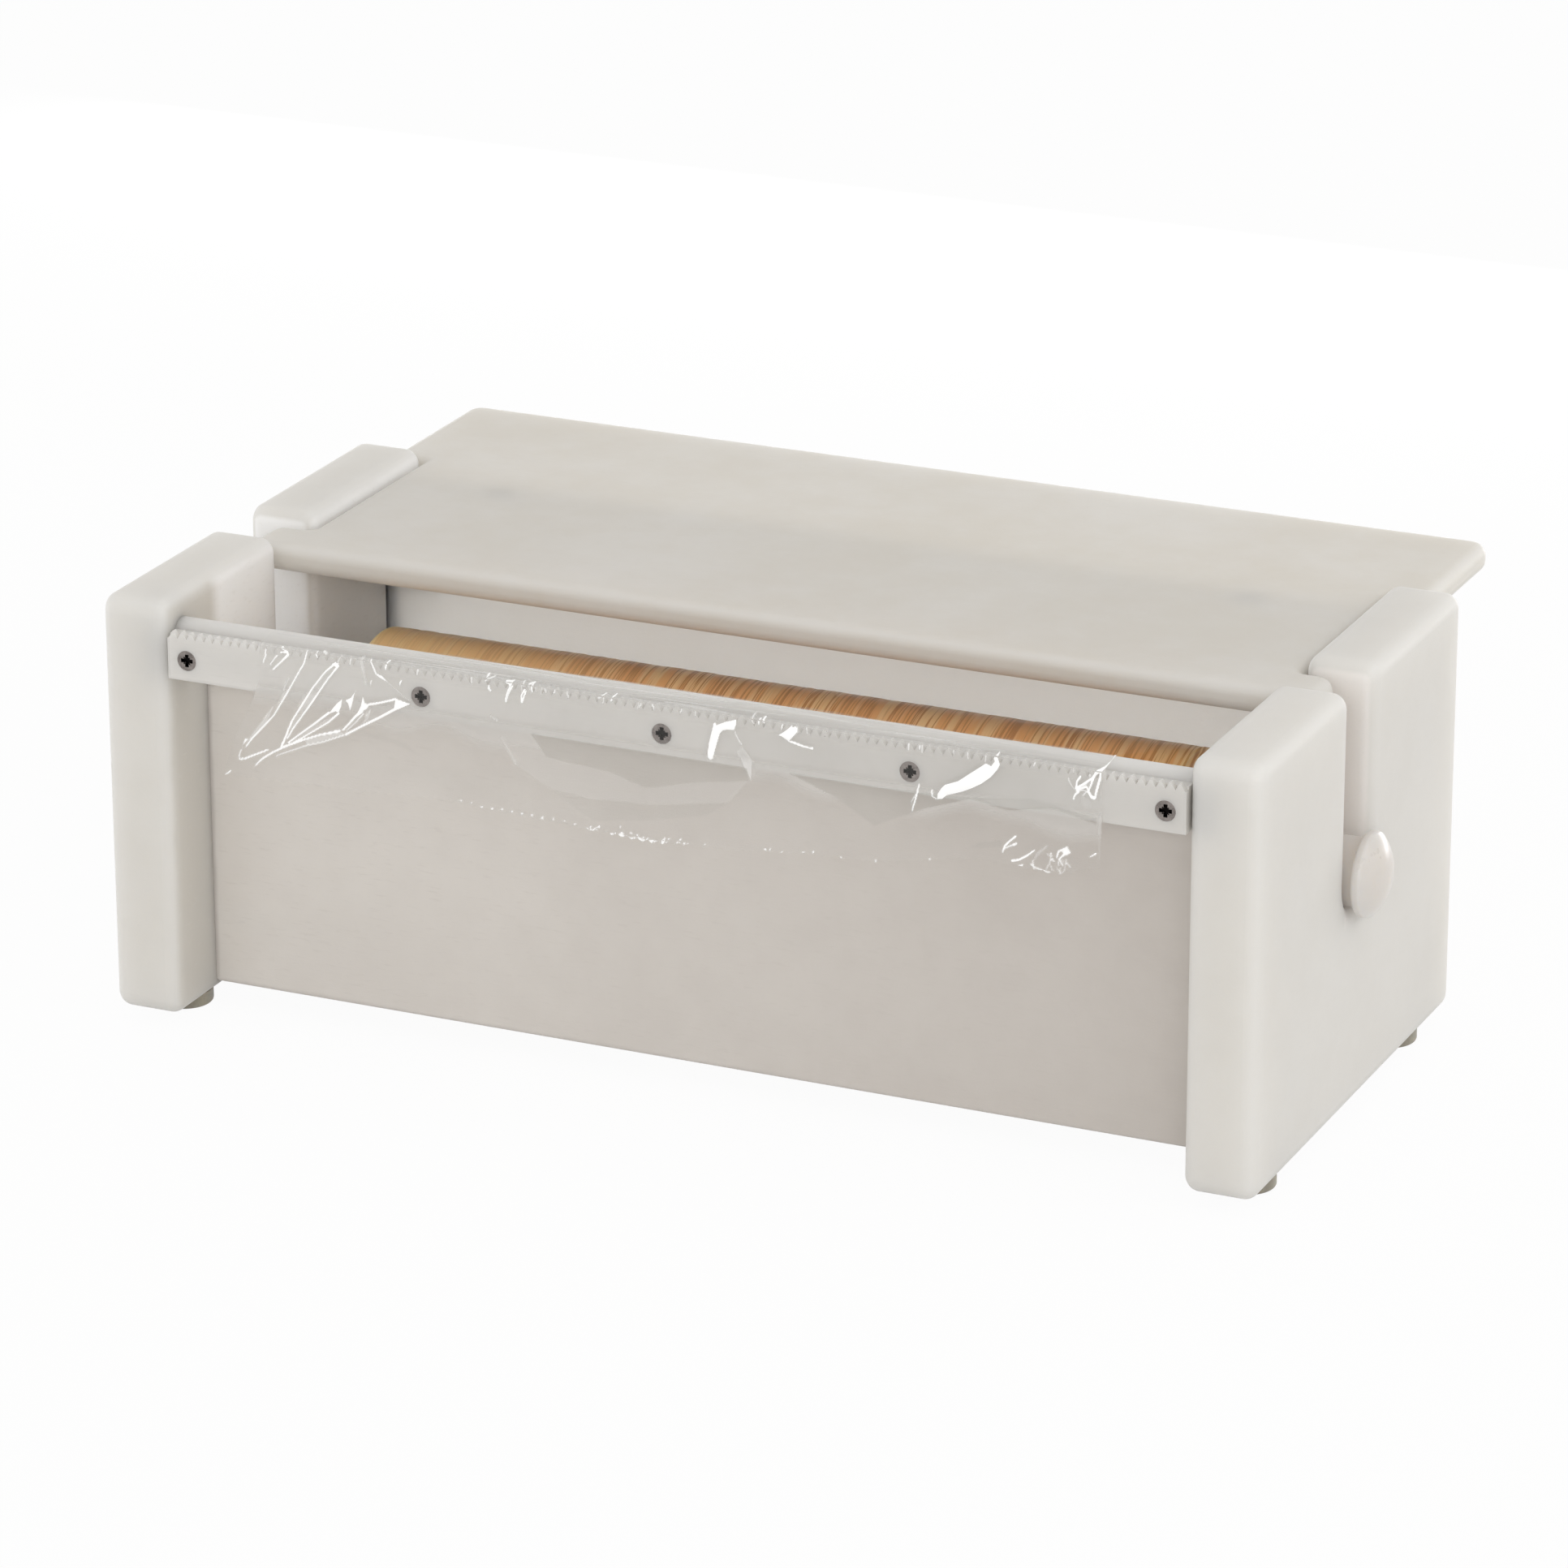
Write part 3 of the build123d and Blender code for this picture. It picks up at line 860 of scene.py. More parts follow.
@dataclass
class Carcass:
    """Cheeks, panels and the blind dowels between them."""

    front_light: Colour = (0.775, 0.735, 0.69)
    front_dark: Colour = (0.60, 0.555, 0.515)
    # rear panel colours painted much lighter than the other boards, standing in for light in the shaded
    # bay behind the roll
    rear_light_painted_bright: Colour = (0.91, 0.87, 0.825)
    rear_dark_painted_bright: Colour = (0.88, 0.84, 0.79)
    # slot walls painted light, lighter in the left cheek's slot than in the right
    left_slot_painted_light: Colour = (0.97, 0.955, 0.935)
    right_slot_painted_light: Colour = (0.84, 0.80, 0.765)
    cheek_glow_mm: float = 28.0
    rear_glow_mm: float = 85.0

    def build(self) -> None:
        """Dresses the boards."""
        places = {
            "bay_y": float(Span.of("front_panel").centre[1]),
            "slot_y": float(Span.of("spindle").centre[1]),
        }
        grain = {"stretch": (900.0, 240.0, 700.0), "roughness": 0.56}
        grain |= {"glow": 0.6, "glow_mm": self.cheek_glow_mm}
        # each cheek gets its own painted light for the slot walls
        for node, painted_slot_light in (("left_cheek", self.left_slot_painted_light), ("right_cheek", self.right_slot_painted_light)):
            dress(node, CheekFinish(node, Span.of(node), painted_slot_light=painted_slot_light, **places, **grain))
        front = {"light": self.front_light, "dark": self.front_dark, "edge": self.front_dark}
        # lean paints shade that darkens the front panel towards the right cheek
        front |= {"glow": 0.35, "glow_mm": 8.0, "lean": 0.75}
        # rear panel takes the painted light colours
        rear = {"light": self.rear_light_painted_bright, "dark": self.rear_dark_painted_bright, "edge": self.rear_light_painted_bright}
        rear |= {"glow_mm": self.rear_glow_mm}
        for node, look in (("front_panel", front), ("rear_panel", rear)):
            dress(node, BoardFinish(node, Span.of(node), relief_mm=0.09, edge_mm=2.0, **look))
            dress(f"{node}_dowels", TurnedFinish(f"{node}_dowels"))


@dataclass
class CuttingHead:
    """Rail, saw-edged strip and its screws."""

    rail_light: Colour = (0.73, 0.713, 0.685)
    rail_dark: Colour = (0.70, 0.68, 0.65)
    strip_light: Colour = (0.765, 0.745, 0.715)
    strip_dark: Colour = (0.63, 0.61, 0.58)

    def build(self) -> None:
        """Dresses the three nodes."""
        rail = {"light": self.rail_light, "dark": self.rail_dark, "edge": self.rail_dark, "glow_mm": 20.0}
        dress("cutter_rail", BoardFinish("cutter_rail", Span.of("cutter_rail"), edge_mm=1.5, **rail))
        strip = {"light": self.strip_light, "dark": self.strip_dark, "edge": self.strip_dark}
        # lean paints shade that darkens the strip towards the right
        strip |= {"roughness": 0.36, "edge_mm": 1.2, "glow": 0.6, "glow_mm": 6.0, "lean": 0.6}
        dress("cutter_strip", BoardFinish("cutter_strip", Span.of("cutter_strip"), **strip))
        face = float(Span.of("strip_screws").low[1])
        dress("strip_screws", SteelFinish("strip_screws", face, axis=1))


@dataclass
class Lid:
    """Loose lid and the pins that locate it."""

    light: Colour = (0.72, 0.697, 0.66)
    dark: Colour = (0.665, 0.63, 0.572)
    glow_mm: float = 26.0

    def build(self) -> None:
        """Dresses the lid and its pins."""
        look = {"light": self.light, "dark": self.dark, "edge": self.light, "glow_mm": self.glow_mm}
        grain = {"stretch": (140.0, 800.0, 800.0), "glow": 0.6, "roughness": 0.56}
        dress("lid_board", LidFinish("lid_board", Span.of("lid_board"), **look, **grain))
        dress("lid_pins", TurnedFinish("lid_pins"))


@dataclass
class Feet:
    """Round feet and their screws."""

    def build(self) -> None:
        """Dresses the feet."""
        for row in ("front", "rear"):
            for side in ("left", "right"):
                node = f"{row}_{side}_foot"
                dress(node, RubberFinish(node))
        face = float(Span.of("foot_screws").low[2])
        dress("foot_screws", SteelFinish("foot_screws", face, axis=2))


@dataclass
class RollSet:
    """Spindle, core and the film wound on it. Sizes in millimetres."""

    round_steps: int = 144
    length_steps: int = 330
    face_steps: int = 20
    uneven: float = 0.3
    fine_dips: float = 2.3
    broad_dips: float = 19.0
    fine_share: float = 0.6
    telescope: float = 0.5
    layer_step: float = 1.1
    rim: float = 0.5
    bore_gap: float = 0.05
    spindle_colour: Colour = (0.69, 0.66, 0.63)
    spindle_shade: Colour = (0.655, 0.62, 0.59)

    def profile(self, span: Span, bore: float) -> np.ndarray:
        """Outline of the wound film, from the bore at the left end out, along and in again.

        The length runs in fine steps whose radius dips by a rough line, and each end face steps in and
        out a little from layer to layer.

        Args:
            span: box of the wound film, in metres.
            bore: radius of its bore, in metres.

        Returns:
            Array of pairs: place along the roll and radius, in metres.
        """
        radius = span.half[2]
        rim = self.rim * MM
        face = np.linspace(bore, radius - rim, self.face_steps)
        ledges = self.telescope * MM * (0.5 + 0.5 * rough_line(face / MM, self.layer_step, seed=5))
        along = np.linspace(span.low[0] + rim, span.high[0] - rim, self.length_steps)
        dips = self.fine_share * rough_line(along / MM, self.fine_dips, seed=11)
        dips = dips + (1.0 - self.fine_share) * rough_line(along / MM, self.broad_dips, seed=12)
        outer = radius - self.uneven * MM * (0.5 + 0.5 * dips)
        left = np.column_stack([span.low[0] + ledges, face])
        right = np.column_stack([span.high[0] - ledges, face])[::-1]
        return np.vstack([left, np.column_stack([along, outer]), right])

    def wound_film(self) -> bpy.types.Object:
        """Turns the outline round the spindle's axis: radius times cosine in depth and sine in height."""
        span = Span.of("film_roll")
        bore = Span.of("roll_core").half[2] + self.bore_gap * MM
        along, radius = self.profile(span, bore).T
        angle = np.linspace(0.0, math.tau, self.round_steps, endpoint=False)
        depth = span.centre[1] + np.outer(radius, np.cos(angle))
        height = span.centre[2] + np.outer(radius, np.sin(angle))
        points = np.stack([np.repeat(along[:, None], self.round_steps, 1), depth, height], axis=-1)
        piece = surface("wound_film", points, closed=True)
        finish = WoundFilmFinish("wound_film", span.centre, float(span.half[0]))
        piece.data.materials.append(finish.make())
        return piece

    def build(self) -> None:
        """Makes the wound film and dresses the spindle and the core."""
        piece = self.wound_film()
        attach(piece, "film_roll")
        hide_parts("film_roll")
        LOG.info("made %s", piece.name)
        dress("spindle", TurnedFinish("spindle", self.spindle_colour, self.spindle_shade))
        dress("roll_core", CoreFinish("roll_core", Span.of("roll_core").centre))


@dataclass(frozen=True)
class Crease:
    """Fold line of the film, in millimetres across and below the saw edge.

    Its widths are half widths of the part that catches the light, at each point of the path. The film
    stands forward by rise along it, less towards its ends, and falls back over reach to either side.
    """

    path: Path
    widths: tuple[float, ...]
    rise: float = 0.7
    reach: float = 1.6
    shine: float = 1.0
    finest: float = 0.28
    end_slope: float = 6.0
    end_rise: float = 0.15
    blur: Pair = (1.3, 0.7)

    def apply(self, across: np.ndarray, drop: np.ndarray) -> tuple[np.ndarray, np.ndarray]:
        """Works out the crease on a grid. One finer than the grid is widened and dimmed instead.

        Args:
            across: places across the film.
            drop: places below the saw edge.

        Returns:
            How far the film stands forward, and how much of it catches the light.
        """
        gap, along = to_path(across, drop, self.path)
        corners = np.array(self.path)
        steps = np.hypot(*np.diff(corners, axis=0).T)
        shares = np.concatenate([[0.0], np.cumsum(steps)]) / steps.sum()
        width = np.interp(along, shares, self.widths)
        drawn = np.maximum(width, self.finest)
        fade = np.clip(np.minimum(along, 1.0 - along) * self.end_slope, self.end_rise, 1.0)
        forward = self.rise * fade * np.clip(1.0 - gap / self.reach, 0.0, 1.0)
        return forward, self.shine * np.sqrt(width / drawn) * smooth_step(*self.blur, gap / drawn)


@dataclass(frozen=True)
class Facet:
    """Flat patch between folds that catches the light, in millimetres across and below the saw edge."""

    outline: Path
    shine: float = 1.0
    rise: float = 0.5
    soft: float = 0.16
    reach: float = 1.2

    def apply(self, across: np.ndarray, drop: np.ndarray) -> tuple[np.ndarray, np.ndarray]:
        """Works out the patch on a grid.

        Args:
            across: places across the film.
            drop: places below the saw edge.

        Returns:
            How far the film stands forward, and how much of it catches the light.
        """
        depth = inset(across, drop, self.outline)
        forward = self.rise * smooth_step(-self.reach, self.reach, depth)
        return forward, self.shine * smooth_step(-self.soft, self.soft, depth)


# Gathered left corner: folds that run together to its lower end, and patches of painted highlight between
# them
FAN = (
    Crease(((-129.2, -0.2), (-130.1, 4.1), (-136.5, 15.2), (-141.7, 23.9), (-150, 33.1),
            (-152.4, 36.3)), (0.2, 0.3, 0.24, 0.24, 0.28, 0.2)),
    Crease(((-142.2, 21), (-144.8, 25.8), (-151.4, 34.2)), (0.3, 0.8, 0.4), shine=0.4),
    Crease(((-135.7, 9.8), (-138, 14.5)), (0.3, 0.4), shine=0.35),
    Facet(((-152.6, 33.3), (-151.4, 33.5), (-153.6, 36))),
    Crease(((-154, 37.4), (-154.8, 39.9), (-154.3, 41)), (0.15, 0.25, 0.25), shine=0.8),
    Crease(((-154.8, 41.1), (-152.2, 40.2), (-148.5, 38.3), (-144.1, 36.2)), (0.3, 0.35, 0.35, 0.3),
           rise=1.2),
    Crease(((-148.8, 42.3), (-145.4, 39), (-141.8, 36.5), (-137.7, 34.1)), (0.2, 0.35, 0.35, 0.4),
           rise=1.2),
    Crease(((-137.7, 34.1), (-135.6, 33), (-129.4, 30), (-123.7, 27.6), (-117, 25.6)),
           (0.5, 0.4, 0.35, 0.35, 0.5), rise=1.2, reach=2.4),
    Crease(((-140.8, 37.8), (-137.7, 36.2), (-129.4, 32.4), (-123.2, 30.3), (-114.5, 26.4)),
           (0.15, 0.2, 0.25, 0.25, 0.35), shine=0.8),
    Crease(((-114.5, 26.4), (-108.9, 22.8), (-101.7, 18.5), (-96.1, 14.9), (-91.2, 12.6)),
           (0.4, 0.4, 0.38, 0.42, 0.2), rise=1.3, reach=2.4),
    Facet(((-129.4, 30), (-123.7, 27.6), (-117, 25.6), (-114.5, 26.4), (-117.1, 28), (-123.2, 30.3),
           (-129.4, 32.4)), shine=0.42),
    Facet(((-96.5, 11.4), (-91, 12.6), (-96.5, 15))),
    Crease(((-96.3, 11.7), (-101.7, 13.6), (-106.2, 15)), (0.42, 0.36, 0.36)),
    Facet(((-108.4, 12.3), (-107.7, 14.8), (-106, 15), (-107, 16.6), (-108.8, 17.7), (-110.9, 19.6),
           (-109.1, 15.9))),
    Crease(((-108.8, 17.7), (-110.9, 19.6), (-113.4, 22.6), (-115.8, 25.2)), (0.5, 0.4, 0.36, 0.36)),
    Crease(((-108.3, 18.6), (-110.9, 21.7), (-114.5, 25.3)), (0.25, 0.4, 0.3), shine=0.55),
    Crease(((-105.8, 17), (-106.8, 20), (-108, 21.5)), (0.3, 0.5, 0.2), shine=0.3),
    Facet(((-116.2, 14.7), (-116.5, 17), (-117.5, 19.5), (-118.5, 19.1), (-121.1, 20.4), (-120.1, 18.9),
           (-118, 16.3))),
    Crease(((-121.1, 20), (-126.3, 24.4), (-131.4, 28.5), (-136.1, 32.4)), (0.42, 0.34, 0.3, 0.3)),
    Crease(((-117.5, 19.7), (-121.1, 23.2), (-126.3, 26.8), (-131.4, 30.3), (-135.6, 33)),
           (0.36, 0.3, 0.28, 0.25, 0.3)),
    Facet(((-118.5, 20.3), (-126.3, 24.6), (-135.6, 32.4), (-126.3, 26.6), (-119.5, 22.5)), shine=0.3,
          rise=0.2),
    Facet(((-111.2, 11.1), (-113.1, 18), (-113.9, 15.7), (-114.9, 14.8), (-112.9, 13.7))),
    Crease(((-118.4, 2.4), (-122, 5.7), (-127.2, 12.5), (-134.5, 24.3), (-137.9, 32.2), (-138.7, 33.7)),
           (0.4, 0.3, 0.3, 0.32, 0.4, 0.45)),
    Crease(((-117.4, 3.2), (-121, 7.9), (-128.3, 18.7), (-134.5, 27.5), (-136.6, 31.1)),
           (0.36, 0.3, 0.3, 0.28, 0.2)),
    Facet(((-118, 3), (-122, 5.9), (-127.2, 12.6), (-134.5, 24.5), (-136.6, 31), (-134.5, 27.3),
           (-128.3, 18.5), (-121, 7.7)), shine=0.24, rise=0.25),
    Facet(((-120, 2.8), (-117, 2.1), (-118, 3.9))),
    Crease(((-117.6, 2.5), (-116.6, -0.2)), (0.3, 0.2), shine=0.45),
    Facet(((-106, -0.7), (-105.2, -0.2), (-103.1, 3.8), (-101.1, 4.3), (-98.8, 6.4), (-102.1, 5.1),
           (-103.7, 4)), soft=0.2),
    Crease(((-99, 6.3), (-91, 11.6)), (0.12, 0.08), shine=0.5),
    Facet(((-109.7, -0.9), (-108.4, -0.9), (-107.2, 5.4), (-106.5, 8.1), (-107.7, 8.3), (-108.7, 3.8)),
          shine=0.34),
    Crease(((-105.1, 6.6), (-105.4, 8.2)), (0.3, 0.2), shine=0.7),
    Crease(((-99.4, -0.6), (-99.9, 2)), (0.4, 0.25)),
    Crease(((-94.1, 5.1), (-94.6, 6.5)), (0.32, 0.22)),
    Crease(((-125.5, -0.3), (-125.3, 1.2)), (0.2, 0.3), shine=0.9),
    Crease(((-123.6, -0.7), (-122.1, -0.2)), (0.25, 0.2), shine=0.7),
    Crease(((-144.6, 1.3), (-144.3, 3.3), (-145.4, 5.9)), (0.25, 0.25, 0.3), shine=0.9),
    Crease(((-138.9, 1.6), (-136.4, 0.9), (-136, 1.9), (-138.7, 4.8), (-141.8, 7.9)),
           (0.25, 0.4, 0.45, 0.3, 0.32)),
    Crease(((-140.2, 2.8), (-142.8, 6.3)), (0.25, 0.3), shine=0.8),
    Crease(((-138.4, -0.1), (-136.4, 0.8)), (0.3, 0.35), shine=0.9),
    Crease(((-158.2, 45.6), (-160.3, 47.6)), (0.3, 0.3), shine=0.8),
)

# Broad folds with painted highlights in the middle and on the right
FOLDS = (
    Facet(((19.7, 2.8), (20.2, 3.6), (23.5, 2), (27, 0.8), (27.1, 2.2), (26.5, 4.4), (23.7, 4.7),
           (22.3, 5.2), (21.4, 6.5), (20.6, 9.1), (18.8, 15.4), (18, 15.8), (17.1, 15.1), (17, 13.6),
           (17.5, 10), (18.3, 6.8), (19.2, 3.1)), rise=1.1),
    Crease(((26.6, 5), (28.9, 8.9)), (0.15, 0.22), shine=0.8),
    Facet(((29.1, 9.7), (31, 11.5), (32.7, 13.9), (32.5, 17.4), (32.4, 20.7), (29.7, 16.3),
           (28.5, 13.8), (27.1, 11.9)), shine=0.3),
    Facet(((47.8, -0.5), (48.5, 0.7), (48.4, 2.1), (47.1, 3.8), (45.7, 5.4), (43.2, 4.2), (41.9, 3.9),
           (43.6, 2.8), (46.1, 0.5), (47.3, 0.4)), rise=0.9),
    Facet(((45.3, 5.3), (46.9, 5.1), (51.1, 6.1), (53.1, 6.4), (54.4, 6.1), (54.2, 7.1), (49.8, 6.7),
           (45.5, 5.7))),
    Crease(((35, -0.4), (34.9, 1.2)), (0.3, 0.25)),
    Crease(((36.1, -0.9), (36.7, 0.4)), (0.35, 0.3)),
    Crease(((31.9, -1.4), (33.1, 1.3)), (0.4, 0.25), shine=0.5),
    Facet(((117.7, -1.4), (118.3, 0.3), (119.1, 2.4), (118.5, 4), (116.2, 7), (112.9, 9.8),
           (109.6, 11.8), (106.3, 13.4), (101.1, 15.3), (99.5, 16.9), (97.6, 17.3), (97.9, 15.4),
           (99.2, 13.2), (100.4, 11.9), (104.9, 10), (108.2, 7.4), (114.3, 2.7), (116.2, 3.3),
           (117.3, 1.6), (116.9, 0.6)), rise=1.4, reach=2.5),
    Crease(((91.2, 13.3), (90.8, 16), (89.8, 19.8), (88.9, 22.6)), (0.12, 0.28, 0.28, 0.2)),
    Crease(((90.8, 16), (89.5, 18), (88.5, 20.2)), (0.2, 0.22, 0.12), shine=0.7),
    Crease(((95.7, 14.8), (96, 16.6), (97.1, 17.1)), (0.3, 0.3, 0.3), shine=0.8),
    Facet(((-56.1, -0.4), (-53.2, -0.8), (-53.8, 0.9), (-54.5, 1.3), (-54.9, 0.5), (-55.7, 0.4))),
    Crease(((-54.2, 1.2), (-55.3, 4.3), (-55.8, 6.7)), (0.28, 0.26, 0.34)),
    Crease(((-53.5, 1.1), (-54.5, 3.7), (-55.6, 6.7)), (0.3, 0.24, 0.3), shine=0.85),
    Crease(((-49, 1.6), (-50, 4), (-49.7, 5.9), (-49, 4.1), (-48.5, 2)), (0.25, 0.3, 0.42, 0.28, 0.22)),
    Crease(((-47.7, -0.4), (-46.4, -0.8), (-46.3, 1.9)), (0.3, 0.35, 0.28), shine=0.85),
    Crease(((-50, -0.8), (-49, 0.7)), (0.28, 0.22), shine=0.6),
    Crease(((-63.5, -1.2), (-63.1, -0.5)), (0.35, 0.3)),
    Crease(((-63.5, 0.7), (-60.9, -0.9)), (0.3, 0.22), shine=0.65),
    Crease(((-62, 2.3), (-61.5, 3.6)), (0.36, 0.46)),
    Crease(((-61.3, 12.3), (-59.3, 13.5)), (0.4, 0.5), shine=0.34),
    Facet(((-57.5, 19.3), (-54.6, 22.6), (-52, 26.2), (-51.6, 28.4), (-53.2, 26.8)), shine=0.2,
          soft=0.3),
    Crease(((-22.4, 0.7), (-20.4, -0.8)), (0.35, 0.25), shine=0.7),
    Crease(((-17, -1), (-17.7, 0.9)), (0.32, 0.3)),
    Crease(((125.1, 25.5), (123.2, 27.3), (121.6, 29.1), (120.7, 31.5)), (0.3, 0.34, 0.34, 0.2)),
    Crease(((121.6, 30), (123.2, 28.9), (125.3, 28)), (0.2, 0.25, 0.45), shine=0.85),
    Crease(((124.2, 33.7), (127, 32.7), (129.5, 31), (131.6, 29.2)), (0.42, 0.36, 0.34, 0.2)),
    Crease(((127, 34.8), (127.9, 34.5)), (0.35, 0.3)),
    Crease(((131, 33.8), (132.4, 34.5), (134.9, 35), (137.2, 35.7)), (0.45, 0.35, 0.25, 0.35),
           shine=0.75),
    Crease(((139.3, 30.3), (140, 28.2), (142.6, 26.8), (143.5, 28.1), (141.4, 29.4), (140.3, 30.8),
            (141.4, 32.7)), (0.3, 0.35, 0.5, 0.5, 0.35, 0.3, 0.25), shine=0.9),
    Facet(((141, 28.2), (142.6, 26.9), (143.6, 28.1), (141.9, 29.2))),
    Facet(((139.5, 30.4), (140.4, 30.2), (142, 31), (141.6, 33)), shine=0.35),
    Crease(((150.5, 28.6), (152.3, 27.4)), (0.22, 0.3), shine=0.85),
    Crease(((135.8, 27.1), (133, 30), (131.9, 31.9)), (0.3, 0.6, 0.3), shine=0.3),
    Crease(((153.4, -4.8), (153.8, -2.9), (153.5, -1.1), (151.8, 0.5), (151.1, 1.5)),
           (0.25, 0.3, 0.45, 0.5, 0.4)),
    Crease(((151.1, 1.5), (150.4, 4.3), (149.3, 7.1), (150.6, 8.9), (151.8, 8.5)),
           (0.4, 0.32, 0.3, 0.45, 0.35)),
    Crease(((153.4, -1.1), (153.2, 2.1), (152.5, 4.9), (151.6, 8.7)), (0.2, 0.4, 0.45, 0.4)),
    Crease(((146.4, 2.5), (145.5, 4.1), (145.3, 6.4), (148.3, 4.2), (150.6, 2.3), (151.6, 0.4)),
           (0.32, 0.35, 0.4, 0.4, 0.36, 0.36)),
    Crease(((145.3, 6.4), (146, 7.6), (144.9, 8.7), (144.3, 10.2)), (0.5, 0.4, 0.3, 0.34)),
    Crease(((142.3, 3.5), (143.5, 5.3), (144.9, 7.3)), (0.25, 0.2, 0.12), shine=0.6),
    Crease(((146, 6.7), (148.8, 5.4), (150.2, 7.9), (151.3, 9)), (0.4, 0.36, 0.36, 0.5)),
    Facet(((145.3, 6.4), (148.3, 4), (149.6, 3.4), (148.6, 5.4), (147, 7), (146, 7.8)), shine=0.75,
          soft=0.4),
    Facet(((147, 9), (150.6, 9.6), (150, 12.6), (146.8, 12)), shine=0.2, soft=0.8),
    Crease(((153.6, 8), (153.3, 18), (153.5, 29)), (0.15, 0.25, 0.2), rise=0.3, shine=0.12),
)

# Patches where the film lies single, with painted shadow of the strip: how strong, how soft its outline
# is, and the outline
SINGLE_PAINTED_SHADOW = (
    (1.0, 0.35, ((-46.6, 16.6), (-41, 23.5), (-17.9, 25.5), (-4.9, 28.7), (12, 24.3), (31.6, 21),
                 (31, 17), (0, 16.8))),
    (0.45, 2.0, ((-101, 37), (-85, 33), (-67.6, 32.3), (-52.3, 28.9), (-40.3, 34.1), (-25.9, 42.2),
                 (-24, 44.5), (-70, 42.5))),
    (0.75, 0.35, ((-40.3, 34.1), (-24.3, 36), (-2.1, 34.1), (24.5, 29.7), (16.7, 34.9), (-2.2, 39.2),
                  (-24.3, 43.4))),
    (1.0, 0.35, ((46.2, 16.4), (62.1, 21.8), (76.1, 29.5), (93.5, 21.1), (109.1, 15.4), (80, 16.5))),
    (0.6, 0.35, ((-114.8, 26.5), (-101.8, 24.5), (-92.4, 26.4), (-87.5, 30.3), (-96.8, 27.1),
                 (-106.8, 26))),
    (0.8, 0.35, ((109.1, 31.8), (112.6, 29.6), (120.3, 27.6), (120.3, 30), (112.6, 31.7))),
    (0.8, 0.5, ((109, 15.4), (122, 17.5), (137.5, 14.3), (152, 17.5), (152, 15.8), (130, 12.5))),
)

# Patch where the film lies double and looks hazy
DOUBLE = (
    (-46.6, 16.6), (-41, 23.5), (-17.9, 25.5), (-4.9, 28.7), (12, 24.3), (31.6, 21), (24.5, 29.7),
    (-2.1, 34.1), (-24.3, 36), (-40.3, 34.1), (-52.3, 27.8), (-57.8, 17.5),
)


@dataclass(frozen=True)
class RailWrinkles:
    """Long faint creases that run across the film where it lies on the rail. Sizes in millimetres."""

    seed: int
    count: int
    left: Pair = (-146.0, 120.0)
    length: Pair = (18.0, 62.0)
    slope: Pair = (-2.6, 2.6)
    bow: float = 0.3
    early: float = 2.0
    tip: float = 0.2
    width: Pair = (0.3, 0.9)
    shine: Pair = (0.08, 0.34)

    def apply(self, across: np.ndarray, along: np.ndarray, start: float, end: float) -> np.ndarray:
        """Draws the creases and works them out on a grid.

        Args:
            across: places across the film.
            along: distance from the roll along the film.
            start: distance at which the film meets the rail.
            end: distance at the saw edge.

        Returns:
            How strong the creases are at each point.
        """
        draw = np.random.default_rng(self.seed)
        found = np.zeros(across.shape)
        for _ in range(self.count):
            left = draw.uniform(*self.left)
            length = draw.uniform(*self.length)
            place = draw.uniform(start - self.early, end - self.early)
            slope = draw.uniform(*self.slope)
            middle = (left + length / 2, place + slope * self.bow)
            path = ((left, place), middle, (left + length, place + slope))
            widths = (self.tip, draw.uniform(*self.width), self.tip)
            crease = Crease(path, widths, shine=draw.uniform(*self.shine))
            found = np.maximum(found, crease.apply(across, along)[1])
        return found


@dataclass(frozen=True)
class Crumple:
    """Short random creases inside a slanted patch, in millimetres across and below the saw edge.

    The half size is across and down, and the lean is how far across the patch moves from its middle to
    its foot.
    """

    middle: Pair
    half_size: Pair
    lean: float
    count: int
    seed: int
    stray: float = 0.5
    length: Pair = (0.9, 3.0)
    kink: float = 0.3
    highest: float = 0.1
    width: Pair = (0.06, 0.26)
    rise: Pair = (0.3, 0.8)
    reach: float = 1.0
    shine: Pair = (0.4, 0.9)

    def creases(self) -> list[Crease]:
        """Draws the creases. Each runs roughly down the patch, with a kink half way."""
        draw = np.random.default_rng(self.seed)
        half_width, half_height = self.half_size
        foot_way = np.array([self.lean, half_height]) / math.hypot(self.lean, half_height)
        made = []
        for _ in range(self.count):
            down = draw.uniform(-1.0, 1.0)
            side = self.middle[0] + draw.uniform(-1.0, 1.0) * half_width + self.lean * down
            start = np.array([side, self.middle[1] + down * half_height])
            way = foot_way + draw.normal(0.0, self.stray, 2)
            length = draw.uniform(*self.length)
            bend = start + way * length / 2 + draw.normal(0.0, self.kink, 2)
            end = start + way * length
            path = tuple((float(x), max(self.highest, float(y))) for x, y in (start, bend, end))
            widths = tuple(draw.uniform(*self.width, 3))
            rise = draw.uniform(*self.rise)
            made.append(Crease(path, widths, rise, self.reach, draw.uniform(*self.shine)))
        return made


